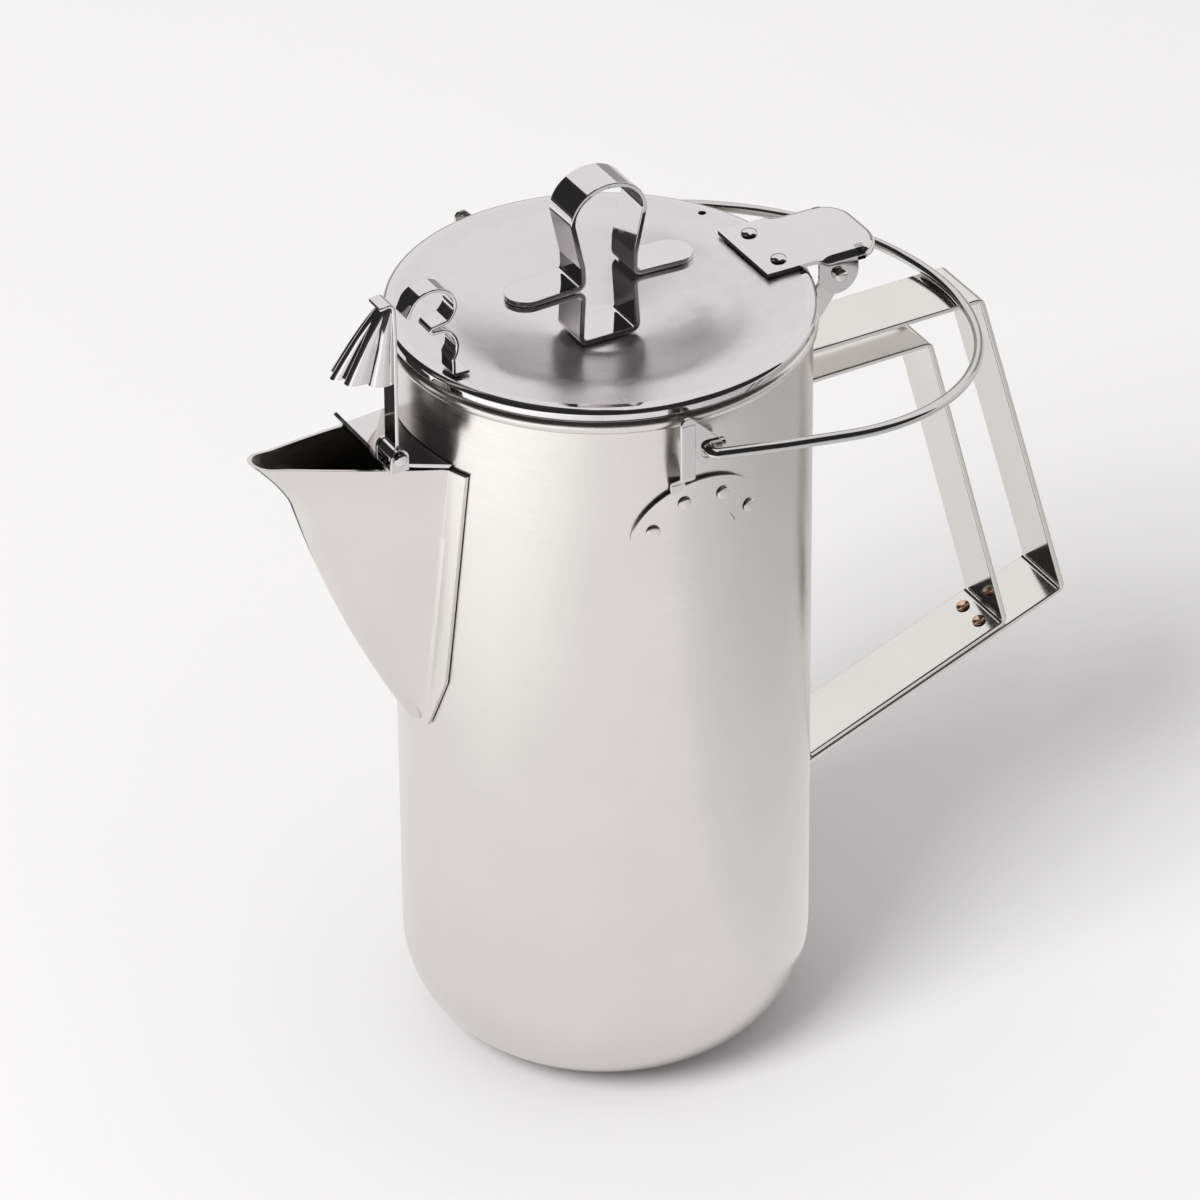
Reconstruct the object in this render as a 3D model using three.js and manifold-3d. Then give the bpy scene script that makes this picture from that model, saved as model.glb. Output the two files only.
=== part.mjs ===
// Camping coffee percolator: a drawn steel pot with a V spout, hinged lid, strap handle, wire bail and
// a thumb latch, with its pump tube and coffee basket inside. Millimetres, +Z up.
// Origin: centre of the pot's underside. Spout towards -X, handle and lid hinge towards +X.
import * as THREE from 'three';
import { mergeVertices } from 'three/addons/utils/BufferGeometryUtils.js';
import Module from 'manifold-3d';

const wasm = await Module();
wasm.setup();

// ---- driving dimensions -------------------------------------------------------------------------
const GAP = 0.3; // clearance between touching pieces
const POT_R = 56; // outer radius of the pot
const POT_WALL = 0.8;
const CORNER_R = 29; // large radius between wall and bottom
const BEAD_Z = 218.7; // middle height of the rolled rim
const BEAD_HALF_HEIGHT = 2.0;
const BEAD_HALF_WIDTH = 1.15;
const LID_R = 57.2;
const LID_Z = 224.2; // top face of the lid's border
const LID_SKIRT = 3.3; // height of the lid's turned-down edge
const SHEET = 0.9; // lid sheet thickness
const DISH_R = 49; // the funnel-shaped dish starts here, softly
const DISH_WALL_R = 38; // outer end of its straight wall
const DISH_HEEL = 2.5; // bend between its wall and its floor
const DISH_FLOOR_R = 10.6;
const DISH_DEPTH = 9.6;
const LID_RING_R = 53.3; // locating ring under the lid
const LID_RING_DEPTH = 7.5;
const VENT = { x: 45.3, y: 25.9, r: 1.1 };

const HINGE_X = 65;
const HINGE_Z = 219.5;
const HINGE_PIN_R = 1.5;
const HINGE_PLATE = { x0: 43, x1: 79.5, halfWidth: 13.3, t: 1.2, lipX: 58.2, lip: 3.4, endR: 9 };
const HINGE_EAR_R = 6;
const HINGE_RIVET = { x: 49.4, y: 7.8 };
const BRACKET_HALF = 11.8; // outer half width of the pot's hinge bracket

const STRAP_W = 20; // handle strap width
const STRAP_T = 1.5;
const HANDLE_TOP_Z = 195.4;
const HANDLE_CORNER = [111.6, 196.2];
const HANDLE_ELBOW = [140.2, 95.4];
const HANDLE_FOOT_Z = 63.4;
const INNER_TOP_Z = 186.4;
const INNER_CORNER = [95.6, 187.1];
const INNER_ELBOW_X = 121.6;
const INNER_FOOT_X = 59.5; // the inner strap laps the outer one almost to the pot
const HANDLE_RIVET = { x: 117.4, y: 4.3 };

const BAIL_R = 1.5; // wire radius
const BAIL_PIVOT = { x: -2.5, z: 211.3 };
const BAIL_END = { x: 105, z: 198.7 };
const BAIL_ARC = { x: 37.8, r: 67.2 }; // the loop's round end
const BAIL_LEG_Y = 64.6;
const BAIL_STUB_Y = 59.4;
const BAIL_STUB = 6.5;
const EAR = { x: -1, z: 178.7, arcR: 16, halfBand: 4.9, t: 1, rivetAngles: [30, 70, 110, 150] };
const EAR_LUG_Y = 61.3;
const EAR_POST = { x: -8.4, w: 4.2, top: 222.4 };

const SPOUT = {
  tipX: 103.5, tipZ: 204.4, // top of the nose
  rootX: 55, rootZ: 197, // top edge where it leaves the wall
  footZ: 112,
  t: 1.0,
  rootHalf: 16.8, // half widths at the wall, at the top and at the foot
  footHalf: 4.6,
};
const HOOD = { frontX: -70.5, backX: -50, frontHalf: 12.2, backHalf: 17.6, t: 1, lip: 4.2 };
const KNOB = { x: -0.3, w: 12, t: 1.2, wing: 27.5, wingZ: 231.4, top: 261.4, waist: 7.6, arch: 11.3 };
const LATCH = { y: -14.3, w: 6.4, x: -69.3, z: 205.6, pinR: 1.1, top: 251.2 };
const PAD = { height: 23.5, reach: 12.9, side: 6.6, flutes: 6, fluteDepth: 0.09, steps: 24, t: 0.9 };
const SCROLL = { t: 1, upper: [-58.2, 245.8], lower: [-56.4, 233.4], footX: -52.3, footEnd: -47.8 };
const EAR_RIVET_HOLE_R = 1.25;
const HINGE_RIVET_HOLE_R = 1.5;
const HANDLE_RIVET_HOLE_R = 1.7;

const STRAINER = { rows: 6, topZ: 184, rowPitch: 9, holePitch: 7, holeR: 2.2 };
const TUBE_R = 5;
const TUBE_TOP = 198; // leaves room to lift the insert under the closed lid
const TUBE_BORE_R = TUBE_R + GAP + 0.2; // hole in the basket and its lid that the tube passes
const BASKET = { r: 37, z0: 128, z1: 186, t: 0.8 };
const PUMP = { r: 27, z0: POT_WALL + GAP, z1: 17 }; // its bell stands on the pot's floor

// ---- helpers ------------------------------------------------------------------------------------
const rad = THREE.MathUtils.degToRad;

// Merge shared vertices, drop collapsed triangles and turn the faces outwards.
function closed(geometry) {
  const bare = geometry.clone();
  for (const name of ['normal', 'uv']) {
    if (bare.getAttribute(name)) bare.deleteAttribute(name);
  }
  const merged = mergeVertices(bare, 1e-3);
  const p = merged.getAttribute('position');
  const old = merged.getIndex().array;
  const index = [];
  let volume = 0;
  const [a, b, c] = [new THREE.Vector3(), new THREE.Vector3(), new THREE.Vector3()];
  for (let i = 0; i < old.length; i += 3) {
    const [i0, i1, i2] = [old[i], old[i + 1], old[i + 2]];
    if (i0 === i1 || i1 === i2 || i0 === i2) continue;
    index.push(i0, i1, i2);
    a.fromBufferAttribute(p, i0);
    b.fromBufferAttribute(p, i1);
    c.fromBufferAttribute(p, i2);
    volume += a.dot(b.clone().cross(c));
  }
  if (volume < 0) index.reverse();
  merged.setIndex(index);
  return merged;
}

function toSolid(geometry) {
  const g = closed(geometry);
  const vertProperties = new Float32Array(g.getAttribute('position').array);
  const triVerts = new Uint32Array(g.getIndex().array);
  return new wasm.Manifold(new wasm.Mesh({ numProp: 3, vertProperties, triVerts }));
}

function fromSolid(solid) {
  const mesh = solid.getMesh();
  const g = new THREE.BufferGeometry();
  g.setAttribute('position', new THREE.BufferAttribute(mesh.vertProperties, 3));
  g.setIndex(new THREE.BufferAttribute(mesh.triVerts, 1));
  return g;
}

function join(...geometries) {
  return fromSolid(geometries.map(toSolid).reduce((whole, piece) => whole.add(piece)));
}

function cut(geometry, ...tools) {
  return fromSolid(tools.map(toSolid).reduce((whole, tool) => whole.subtract(tool), toSolid(geometry)));
}

function common(geometry, other) {
  return fromSolid(toSolid(geometry).intersect(toSolid(other)));
}

// Turn a profile of [radius, height] points about the Z axis.
function turned(profile, segments) {
  const points = profile.map(([r, z]) => new THREE.Vector2(r, z));
  return closed(new THREE.LatheGeometry(points, segments).rotateX(Math.PI / 2));
}

function box(x0, x1, y0, y1, z0, z1) {
  const g = new THREE.BoxGeometry(x1 - x0, y1 - y0, z1 - z0);
  return g.translate((x0 + x1) / 2, (y0 + y1) / 2, (z0 + z1) / 2);
}

// Round bar along 'x', 'y' or 'z', centred on the given point.
function bar(axis, radius, length, [x, y, z], sides = 16) {
  const g = new THREE.CylinderGeometry(radius, radius, length, sides);
  if (axis === 'x') g.rotateZ(Math.PI / 2);
  if (axis === 'z') g.rotateX(Math.PI / 2);
  return g.translate(x, y, z);
}

// Extrude an outline of [x, z] points along Y, from y0 to y1.
function alongY(outline, y0, y1) {
  const shape = new THREE.Shape(outline.map(([x, z]) => new THREE.Vector2(x, z)));
  const g = new THREE.ExtrudeGeometry(shape, { depth: y1 - y0, bevelEnabled: false });
  return g.rotateX(Math.PI / 2).translate(0, y1, 0);
}

// Extrude an outline of [x, y] points along Z, from z0 to z1.
function alongZ(outline, z0, z1) {
  const shape = new THREE.Shape(outline.map(([x, y]) => new THREE.Vector2(x, y)));
  const g = new THREE.ExtrudeGeometry(shape, { depth: z1 - z0, bevelEnabled: false });
  return g.translate(0, 0, z0);
}

function arc(cx, cy, rx, ry, from, to, steps) {
  const points = [];
  for (let i = 0; i <= steps; i++) {
    const a = rad(from + ((to - from) * i) / steps);
    points.push([cx + rx * Math.cos(a), cy + ry * Math.sin(a)]);
  }
  return points;
}

// Replace each inner corner of a polyline with an arc of the given radius.
function rounded(points, radius, steps = 4) {
  const out = [points[0]];
  for (let i = 1; i < points.length - 1; i++) {
    const corner = new THREE.Vector2(...points[i]);
    const back = new THREE.Vector2(...points[i - 1]).sub(corner);
    const ahead = new THREE.Vector2(...points[i + 1]).sub(corner);
    const half = Math.abs(back.angleTo(ahead)) / 2;
    const reach = Math.min(radius / Math.tan(half), back.length() * 0.49, ahead.length() * 0.49);
    const start = corner.clone().addScaledVector(back.normalize(), reach);
    const end = corner.clone().addScaledVector(ahead.normalize(), reach);
    for (let k = 0; k <= steps; k++) {
      const t = k / steps;
      const x = (1 - t) ** 2 * start.x + 2 * t * (1 - t) * corner.x + t * t * end.x;
      const y = (1 - t) ** 2 * start.y + 2 * t * (1 - t) * corner.y + t * t * end.y;
      out.push([x, y]);
    }
  }
  out.push(points[points.length - 1]);
  return out;
}

// Outline of a strip of constant thickness along a centre line.
function ribbon(line, thickness) {
  const left = [];
  const right = [];
  line.forEach(([x, y], i) => {
    const [x0, y0] = line[Math.max(i - 1, 0)];
    const [x1, y1] = line[Math.min(i + 1, line.length - 1)];
    const length = Math.hypot(x1 - x0, y1 - y0);
    const [nx, ny] = [(-(y1 - y0) / length) * thickness * 0.5, ((x1 - x0) / length) * thickness * 0.5];
    left.push([x + nx, y + ny]);
    right.push([x - nx, y - ny]);
  });
  return left.concat(right.reverse());
}

// A strap bent in the XZ plane: a ribbon extruded across its width.
function strap(line, thickness, width, y = 0) {
  return alongY(ribbon(line, thickness), y - width / 2, y + width / 2);
}

// Skin over rings of points: rings[i][j], each ring a closed loop, with both ends capped.
function loft(rings) {
  const n = rings[0].length;
  const position = rings.flat(2);
  const index = [];
  for (let i = 0; i < rings.length - 1; i++) {
    for (let j = 0; j < n; j++) {
      const [a, b] = [i * n + j, i * n + ((j + 1) % n)];
      index.push(a, b, b + n, a, b + n, a + n);
    }
  }
  // each ring is a folded strip, point j facing point n - 1 - j, so its cap is a ladder
  for (let j = 0; j < n / 2 - 1; j++) {
    const [a, b, c, d] = [j, j + 1, n - 2 - j, n - 1 - j];
    index.push(a, c, b, a, d, c);
    const top = (rings.length - 1) * n;
    index.push(top + a, top + b, top + c, top + a, top + c, top + d);
  }
  const g = new THREE.BufferGeometry();
  g.setAttribute('position', new THREE.Float32BufferAttribute(position, 3));
  g.setIndex(index);
  return closed(g);
}

function rivet(headR, headH, shankR, grip, tailR, tailH) {
  const head = arc(0, grip, headR, headH, 90, 0, 2);
  const profile = [...head, [shankR, grip], [shankR, 0], [tailR, 0], [tailR * 0.7, -tailH], [0, -tailH]];
  return turned(profile, 10);
}

// ---- materials ----------------------------------------------------------------------------------
const steel = (color, roughness) => new THREE.MeshStandardMaterial({ color, roughness, metalness: 1 });
const MATERIALS = {
  mirror: steel(0xd9d8da, 0.12),
  satin: steel(0xcfcdd0, 0.25),
  wire: steel(0xc9c8c8, 0.2),
  copper: steel(0xb07a52, 0.3),
};

const percolator = new THREE.Group();

function add(name, geometry, material) {
  const mesh = new THREE.Mesh(closed(geometry), MATERIALS[material]);
  mesh.name = name;
  percolator.add(mesh);
  return mesh;
}

// ---- pot ----------------------------------------------------------------------------------------
function earRivetPlaces() {
  return EAR.rivetAngles.map((angle) => ({
    angle: (EAR.x + EAR.arcR * Math.cos(rad(angle))) / POT_R,
    z: EAR.z + EAR.arcR * Math.sin(rad(angle)),
  }));
}

function earRivetHoles(side) {
  return earRivetPlaces().map(({ angle, z }) => {
    const hole = bar('y', EAR_RIVET_HOLE_R, 6, [0, POT_R * side, z], 10);
    return hole.rotateZ(-side * angle);
  });
}

// Strainer holes behind the spout: rows that narrow downwards with the spout.
function strainerHoles() {
  const holes = [];
  for (let row = 0; row < STRAINER.rows; row++) {
    const z = STRAINER.topZ - row * STRAINER.rowPitch;
    const count = 4 - Math.floor(row / 2);
    for (let i = 0; i < count; i++) {
      const angle = ((i - (count - 1) / 2) * STRAINER.holePitch) / POT_R;
      holes.push(bar('x', STRAINER.holeR, 6, [-POT_R, 0, z], 8).rotateZ(angle));
    }
  }
  return holes;
}

function potShell() {
  const flatR = POT_R - CORNER_R;
  const innerR = POT_R - POT_WALL;
  const bead = arc(innerR + BEAD_HALF_WIDTH, BEAD_Z, BEAD_HALF_WIDTH, BEAD_HALF_HEIGHT, -70, 180, 6);
  const profile = [
    ...arc(flatR, CORNER_R, CORNER_R, CORNER_R, -90, 0, 6),
    [POT_R, BEAD_Z - BEAD_HALF_HEIGHT - 0.2],
    ...bead,
    ...arc(flatR, CORNER_R, CORNER_R - POT_WALL, CORNER_R - POT_WALL, 0, -90, 6),
    [flatR, 0],
  ];
  const holes = [...earRivetHoles(-1), ...earRivetHoles(1), ...strainerHoles()];
  return cut(turned(profile, 44), ...holes);
}

// The pot's flat floor is a solid of its own, so that its collision is a flat disc and leaves the pump's
// bell open. The real pot is drawn in one piece with it.
function potFloor() {
  const r = POT_R - CORNER_R - GAP;
  return turned([[0, 0], [r, 0], [r, POT_WALL], [0, POT_WALL]], 44);
}

// ---- spout --------------------------------------------------------------------------------------
// Distance of the keel from the pot's axis at a height: a slight belly, then a lip that flares out.
function keelX(z) {
  const t = (z - SPOUT.footZ) / (SPOUT.tipZ - SPOUT.footZ);
  const belly = 3.2 * Math.sin(Math.PI * Math.min(t, 1));
  const lip = 7.5 * Math.max(0, (t - 0.84) / 0.16) ** 1.6;
  return 59.3 + 36.7 * t + belly + lip;
}

// Half of the spout's section at one height: flange edge, root and nose, as [x, y] with x to the front.
function spoutHalf(t, inset) {
  const half = THREE.MathUtils.lerp(SPOUT.footHalf, SPOUT.rootHalf, t ** 0.85);
  const flange = half + 1.5 + 5 * Math.min(1, t * 5) * (1 - 0.12 * t);
  const wallR = POT_R + GAP + SPOUT.t - inset;
  const keel = keelX(THREE.MathUtils.lerp(SPOUT.footZ, SPOUT.tipZ, t)) - inset * 1.3;
  const nose = THREE.MathUtils.lerp(2.6, 5.2, t) - inset * 0.7;
  const root = half - inset;
  const points = [];
  for (const y of [flange, (flange + half) / 2, half + 0.8]) {
    points.push([Math.sqrt(wallR ** 2 - y ** 2), y]);
  }
  const rootX = Math.sqrt(wallR ** 2 - root ** 2);
  const shoulderX = keel - nose * 1.15;
  const shoulderY = nose * 0.98;
  for (const s of [0.06, 0.35, 0.7]) {
    const bow = 0.9 * Math.sin(Math.PI * s) * t;
    points.push([rootX + (shoulderX - rootX) * s, root + (shoulderY - root) * s + bow]);
  }
  for (const a of [80, 52, 26]) {
    points.push([keel - nose + nose * Math.cos(rad(a)), nose * Math.sin(rad(a))]);
  }
  points.push([keel, 0]);
  // near its foot the spout closes onto the wall
  return points.map(([x, y]) => [Math.max(x, Math.sqrt(wallR ** 2 - y ** 2)), y]);
}

function spoutRing(t) {
  const strip = (inset) => {
    const half = spoutHalf(t, inset);
    return [...half, ...half.slice(0, -1).reverse().map(([x, y]) => [x, -y])];
  };
  // the top edge rises from the root to the tip, and lower rings flatten out
  const place = ([x, y]) => {
    const forward = THREE.MathUtils.clamp((x - SPOUT.rootX) / (SPOUT.tipX - SPOUT.rootX), 0, 1);
    const top = THREE.MathUtils.lerp(SPOUT.rootZ, SPOUT.tipZ, forward);
    return [-x, y, THREE.MathUtils.lerp(SPOUT.footZ, top, t)];
  };
  return [...strip(0).map(place), ...strip(SPOUT.t).reverse().map(place)];
}

function spout() {
  const levels = [0, 0.06, 0.14, 0.25, 0.37, 0.5, 0.62, 0.74, 0.84, 0.89, 0.94, 0.975, 1];
  return loft(levels.map(spoutRing));
}

const SPOUT_EDGE_SLOPE = (SPOUT.tipZ - SPOUT.rootZ) / (SPOUT.tipX - SPOUT.rootX);

// Cover plate over the spout's root, with its front edge turned up.
function spoutHood() {
  const z = (x) => SPOUT.rootZ + SPOUT_EDGE_SLOPE * (-x - SPOUT.rootX) + GAP + 0.15 + HOOD.t / 2;
  const lipTop = [HOOD.frontX - 2.2, z(HOOD.frontX) + HOOD.lip];
  const line = rounded([[HOOD.backX, z(HOOD.backX)], [HOOD.frontX, z(HOOD.frontX)], lipTop], 1.4, 3);
  const plate = strap(line, HOOD.t, HOOD.backHalf * 2);
  const plan = [
    [HOOD.frontX - 4, -HOOD.frontHalf + 0.6],
    [HOOD.backX, -HOOD.backHalf],
    [HOOD.backX, HOOD.backHalf],
    [HOOD.frontX - 4, HOOD.frontHalf - 0.6],
  ];
  const pot = bar('z', POT_R + GAP, 60, [0, 0, 200], 120);
  const notch = box(LATCH.x - 6, LATCH.x + 4.5, LATCH.y - 8, LATCH.y + 6.2, z(LATCH.x) + 0.7, 215);
  return cut(common(plate, alongZ(plan, 190, 220)), pot, notch);
}

// ---- thumb latch --------------------------------------------------------------------------------
function latchClevis() {
  const half = LATCH.w / 2 + GAP + 1;
  const [x, z] = [LATCH.x, LATCH.z];
  const cheek = [[x - 2.6, z - 4], [x + 2.6, z - 4], ...arc(x, z, 2.6, 2.6, 0, 180, 6)];
  const sides = [-1, 1].map((s) => {
    const y = LATCH.y + s * (half - 0.5);
    return alongY(cheek, y - 0.5, y + 0.5);
  });
  const base = box(x - 2.6, x + 2.6, LATCH.y - half, LATCH.y + half, z - 4.2, z - 3.2);
  const hole = bar('y', LATCH.pinR + GAP, 20, [x, LATCH.y, z], 12);
  return cut(join(base, ...sides), hole);
}

function latchPin() {
  const half = LATCH.w / 2 + GAP + 1 + GAP;
  const shaft = bar('y', LATCH.pinR, half * 2 + 0.4, [LATCH.x, LATCH.y, LATCH.z], 12);
  const heads = [-1, 1].map((s) => bar('y', 1.9, 0.9, [LATCH.x, LATCH.y + s * (half + 0.45), LATCH.z], 12));
  return join(shaft, ...heads);
}

// Fluted thumb pad: half of a scalloped cone, open towards the lever.
function thumbPad() {
  const rings = [];
  for (const t of [0, 0.12, 0.3, 0.55, 0.8, 1]) {
    const ring = (inset) => {
      const points = [];
      for (let i = 0; i <= PAD.steps; i++) {
        const share = i / PAD.steps;
        const a = rad(88 + 184 * share); // the half facing the spout's nose, a little past both sides
        const flute = 1 + PAD.fluteDepth * t * Math.cos(share * PAD.flutes * 2 * Math.PI);
        const reach = (1.6 + PAD.reach * t ** 0.8) * flute - inset;
        const side = (1.7 + PAD.side * t ** 0.75) * flute - inset;
        const x = LATCH.x - 0.2 + reach * Math.cos(a);
        const z = LATCH.top - 0.6 - PAD.height * t - 2.2 * Math.cos(a) * t;
        points.push([x, LATCH.y + 2.2 * t + side * Math.sin(a), z]);
      }
      return points;
    };
    rings.push([...ring(0), ...ring(PAD.t).reverse()]);
  }
  return loft(rings);
}

function thumbLatch() {
  const [x, z, top] = [LATCH.x, LATCH.z, LATCH.top];
  const line = rounded([[x, z + 1.5], [x + 0.3, top - 9], [x, top], [x - 4, top - 0.6]], 4, 5);
  const lever = strap(line, 1, LATCH.w, LATCH.y);
  const eye = bar('y', 2.5, LATCH.w, [x, LATCH.y, z], 16);
  const hole = bar('y', LATCH.pinR + GAP, LATCH.w + 2, [x, LATCH.y, z], 12);
  return cut(join(lever, eye, thumbPad()), hole);
}

// ---- lid ----------------------------------------------------------------------------------------
// Fall of the dish at a radius, before it is scaled to its depth: a straight wall between two bends.
function dishFall(radius) {
  const { clamp } = THREE.MathUtils;
  const rim = clamp(DISH_R - radius, 0, DISH_R - DISH_WALL_R);
  const wall = clamp(DISH_WALL_R - radius, 0, DISH_WALL_R - DISH_FLOOR_R - DISH_HEEL);
  const heel = DISH_HEEL - clamp(radius - DISH_FLOOR_R, 0, DISH_HEEL);
  return rim ** 2 / (2 * (DISH_R - DISH_WALL_R)) + wall + heel - heel ** 2 / (2 * DISH_HEEL);
}

function dish(radius) {
  return LID_Z - DISH_DEPTH * dishFall(radius) / dishFall(0);
}

function hingeRivetHoles(z) {
  return [-1, 1].map((s) => bar('z', HINGE_RIVET_HOLE_R, 8, [HINGE_RIVET.x, s * HINGE_RIVET.y, z], 12));
}

function lid() {
  const radii = [10.6, 13.1, 21, 30, 38, 42, 45.5, 49];
  const bottom = LID_Z - LID_SKIRT;
  const under = LID_Z - SHEET;
  const profile = [
    [0, LID_Z - DISH_DEPTH],
    ...radii.map((r) => [r, dish(r)]),
    [53, LID_Z],
    ...arc(LID_R - 1.6, LID_Z - 1.6, 1.6, 1.6, 80, 0, 3),
    [LID_R, bottom],
    [LID_R - SHEET, bottom],
    [LID_R - SHEET, under - 0.7],
    [LID_R - SHEET - 0.7, under],
    [LID_RING_R, under],
    [LID_RING_R, under - LID_RING_DEPTH + SHEET],
    [LID_RING_R - SHEET, under - LID_RING_DEPTH + SHEET],
    [LID_RING_R - SHEET, under],
    ...radii.slice().reverse().map((r) => [r, dish(r) - SHEET]),
    [0, LID_Z - DISH_DEPTH - SHEET],
  ];
  const vent = bar('z', VENT.r, 6, [VENT.x, VENT.y, LID_Z], 12);
  return cut(turned(profile, 44), vent, ...hingeRivetHoles(LID_Z));
}

// Strap curled like a numeral 3, standing on the lid's edge next to the latch.
function lidScroll() {
  const footZ = LID_Z + GAP + SCROLL.t / 2;
  const upper = arc(...SCROLL.upper, 6.6, 5.8, 152, -50, 12);
  const notch = arc(-58, 239.9, 0.8, 0.8, 80, 280, 5);
  const lower = arc(...SCROLL.lower, 5.2, 5.7, 78, -40, 8);
  const foot = rounded([[SCROLL.footX, 228.6], [SCROLL.footX, footZ], [SCROLL.footEnd, footZ]], 1, 3);
  const line = [[-65.4, 245.4], ...upper, ...notch, ...lower, ...foot];
  return strap(line, SCROLL.t, LATCH.w, LATCH.y);
}

// ---- knob ---------------------------------------------------------------------------------------
function wingPlan() {
  const reach = KNOB.wing - KNOB.w / 2;
  const right = arc(KNOB.x + reach, 0, KNOB.w / 2, KNOB.w / 2, -90, 90, 8);
  const left = arc(KNOB.x - reach, 0, KNOB.w / 2, KNOB.w / 2, 90, 270, 8);
  return alongZ([...right, ...left], 200, 270);
}

function mirrorLine(half) {
  const mirrored = half.slice().reverse().map(([x, z]) => [2 * KNOB.x - x, z]);
  return [...half, ...mirrored];
}

function knobBracket() {
  const base = LID_Z - DISH_DEPTH + GAP + KNOB.t / 2;
  const z = KNOB.wingZ - KNOB.t / 2 - GAP / 2;
  const waist = KNOB.x - KNOB.waist;
  const left = [[KNOB.x - KNOB.wing - 1, z - 0.8], [waist, z], [waist - 0.9, base]];
  return common(strap(rounded(mirrorLine(left), 2, 4), KNOB.t, KNOB.w), wingPlan());
}

function knobLoop() {
  const z = KNOB.wingZ + KNOB.t / 2 + GAP / 2;
  const waist = KNOB.x - KNOB.waist;
  const archR = KNOB.arch - KNOB.t / 2;
  const archZ = 251.7;
  const wingTip = KNOB.x - KNOB.wing - 1;
  const wing = [[wingTip, z - 0.8], [waist, z], [waist - 0.2, z + 6], [KNOB.x - archR, archZ - 0.5]];
  const crown = arc(KNOB.x, archZ, archR, KNOB.top - archZ - KNOB.t / 2, 176, 96, 6);
  const half = [...rounded(wing, 2.2, 4), ...crown];
  return common(strap(mirrorLine(half), KNOB.t, KNOB.w), wingPlan());
}

// ---- lid hinge ----------------------------------------------------------------------------------
function hingePlan(inset) {
  const { x0, x1, halfWidth, endR } = HINGE_PLATE;
  const [right, half, r] = [x1 - inset, halfWidth - inset, endR - inset];
  const near = arc(right - r, -half + r, r, r, -90, 0, 4);
  const far = arc(right - r, half - r, r, r, 0, 90, 4);
  return [[x0, -half], ...near, ...far, [x0, half]];
}

function lidHingePlate() {
  const { x0, x1, halfWidth, t, lipX, lip } = HINGE_PLATE;
  const z = LID_Z + GAP;
  const top = alongZ(hingePlan(0), z, z + t);
  const rimOuter = common(alongZ(hingePlan(0), z + t - lip, z + t), box(lipX, x1 + 1, -20, 20, 210, 230));
  const lips = cut(rimOuter, alongZ(hingePlan(1), z - lip - 1, z + 0.1));
  const ears = [-1, 1].map((s) => {
    const y = s * (halfWidth - 0.5);
    const [left, right] = [HINGE_X - HINGE_EAR_R, HINGE_X + HINGE_EAR_R];
    const round = arc(HINGE_X, HINGE_Z, HINGE_EAR_R, HINGE_EAR_R, 180, 360, 10);
    return alongY([[left, z + 0.4], ...round, [right, z + 0.4]], y - 0.5, y + 0.5);
  });
  const pinHole = bar('y', HINGE_PIN_R + GAP, 40, [HINGE_X, 0, HINGE_Z], 16);
  return cut(join(top, lips, ...ears), pinHole, ...hingeRivetHoles(z));
}

function potHingeBracket() {
  const [x, z] = [HINGE_X, HINGE_Z];
  const backX = POT_R + 0.4;
  const foot = 205.2;
  const round = arc(x, z, 3.8, 3.8, -50, 160, 8);
  const cheek = [[backX, foot], [backX + 2.5, foot], ...round, [backX + 2.4, 216], [backX, 216]];
  const cheeks = [-1, 1].map((s) => {
    const y = s * (BRACKET_HALF - 0.5);
    return alongY(cheek, y - 0.5, y + 0.5);
  });
  const back = box(backX, backX + 1, -BRACKET_HALF, BRACKET_HALF, foot, 216);
  const hole = bar('y', HINGE_PIN_R + GAP, 40, [x, 0, z], 16);
  return cut(join(back, ...cheeks), hole);
}

function lidHingePin() {
  const half = HINGE_PLATE.halfWidth + GAP;
  const shaft = bar('y', HINGE_PIN_R, half * 2 + 0.4, [HINGE_X, 0, HINGE_Z], 16);
  const heads = [-1, 1].map((s) => bar('y', 2.1, 1.1, [HINGE_X, s * (half + 0.55), HINGE_Z], 16));
  return join(shaft, ...heads);
}

// ---- handle -------------------------------------------------------------------------------------
const FLANGE_X = POT_R + 0.4 + STRAP_T / 2;
const ARM_SLOPE = (HANDLE_ELBOW[1] - HANDLE_FOOT_Z) / (HANDLE_ELBOW[0] - FLANGE_X);
const armZ = (x) => HANDLE_FOOT_Z + ARM_SLOPE * (x - FLANGE_X);
const ARM_ANGLE = Math.atan(ARM_SLOPE);
const LAP = (STRAP_T + GAP) / Math.cos(ARM_ANGLE); // height of the inner strap's foot over the lower arm

function handleRivetHoles() {
  return [-1, 1].map((s) => {
    const hole = bar('z', HANDLE_RIVET_HOLE_R, 14, [0, 0, 0], 12).rotateY(-ARM_ANGLE);
    return hole.translate(HANDLE_RIVET.x, s * HANDLE_RIVET.y, armZ(HANDLE_RIVET.x));
  });
}

function handleOuter() {
  const line = [
    [FLANGE_X, HANDLE_TOP_Z + 8.8],
    [FLANGE_X, HANDLE_TOP_Z],
    HANDLE_CORNER,
    HANDLE_ELBOW,
    [FLANGE_X, HANDLE_FOOT_Z],
    [FLANGE_X, HANDLE_FOOT_Z - 12],
  ];
  return cut(strap(rounded(line, 2.2, 4), STRAP_T, STRAP_W), ...handleRivetHoles());
}

function handleInner() {
  const line = [
    [FLANGE_X, INNER_TOP_Z - 12],
    [FLANGE_X, INNER_TOP_Z],
    INNER_CORNER,
    [INNER_ELBOW_X, armZ(INNER_ELBOW_X) + LAP],
    [INNER_FOOT_X, armZ(INNER_FOOT_X) + LAP],
  ];
  return cut(strap(rounded(line, 2.2, 4), STRAP_T, STRAP_W), ...handleRivetHoles());
}

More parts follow.
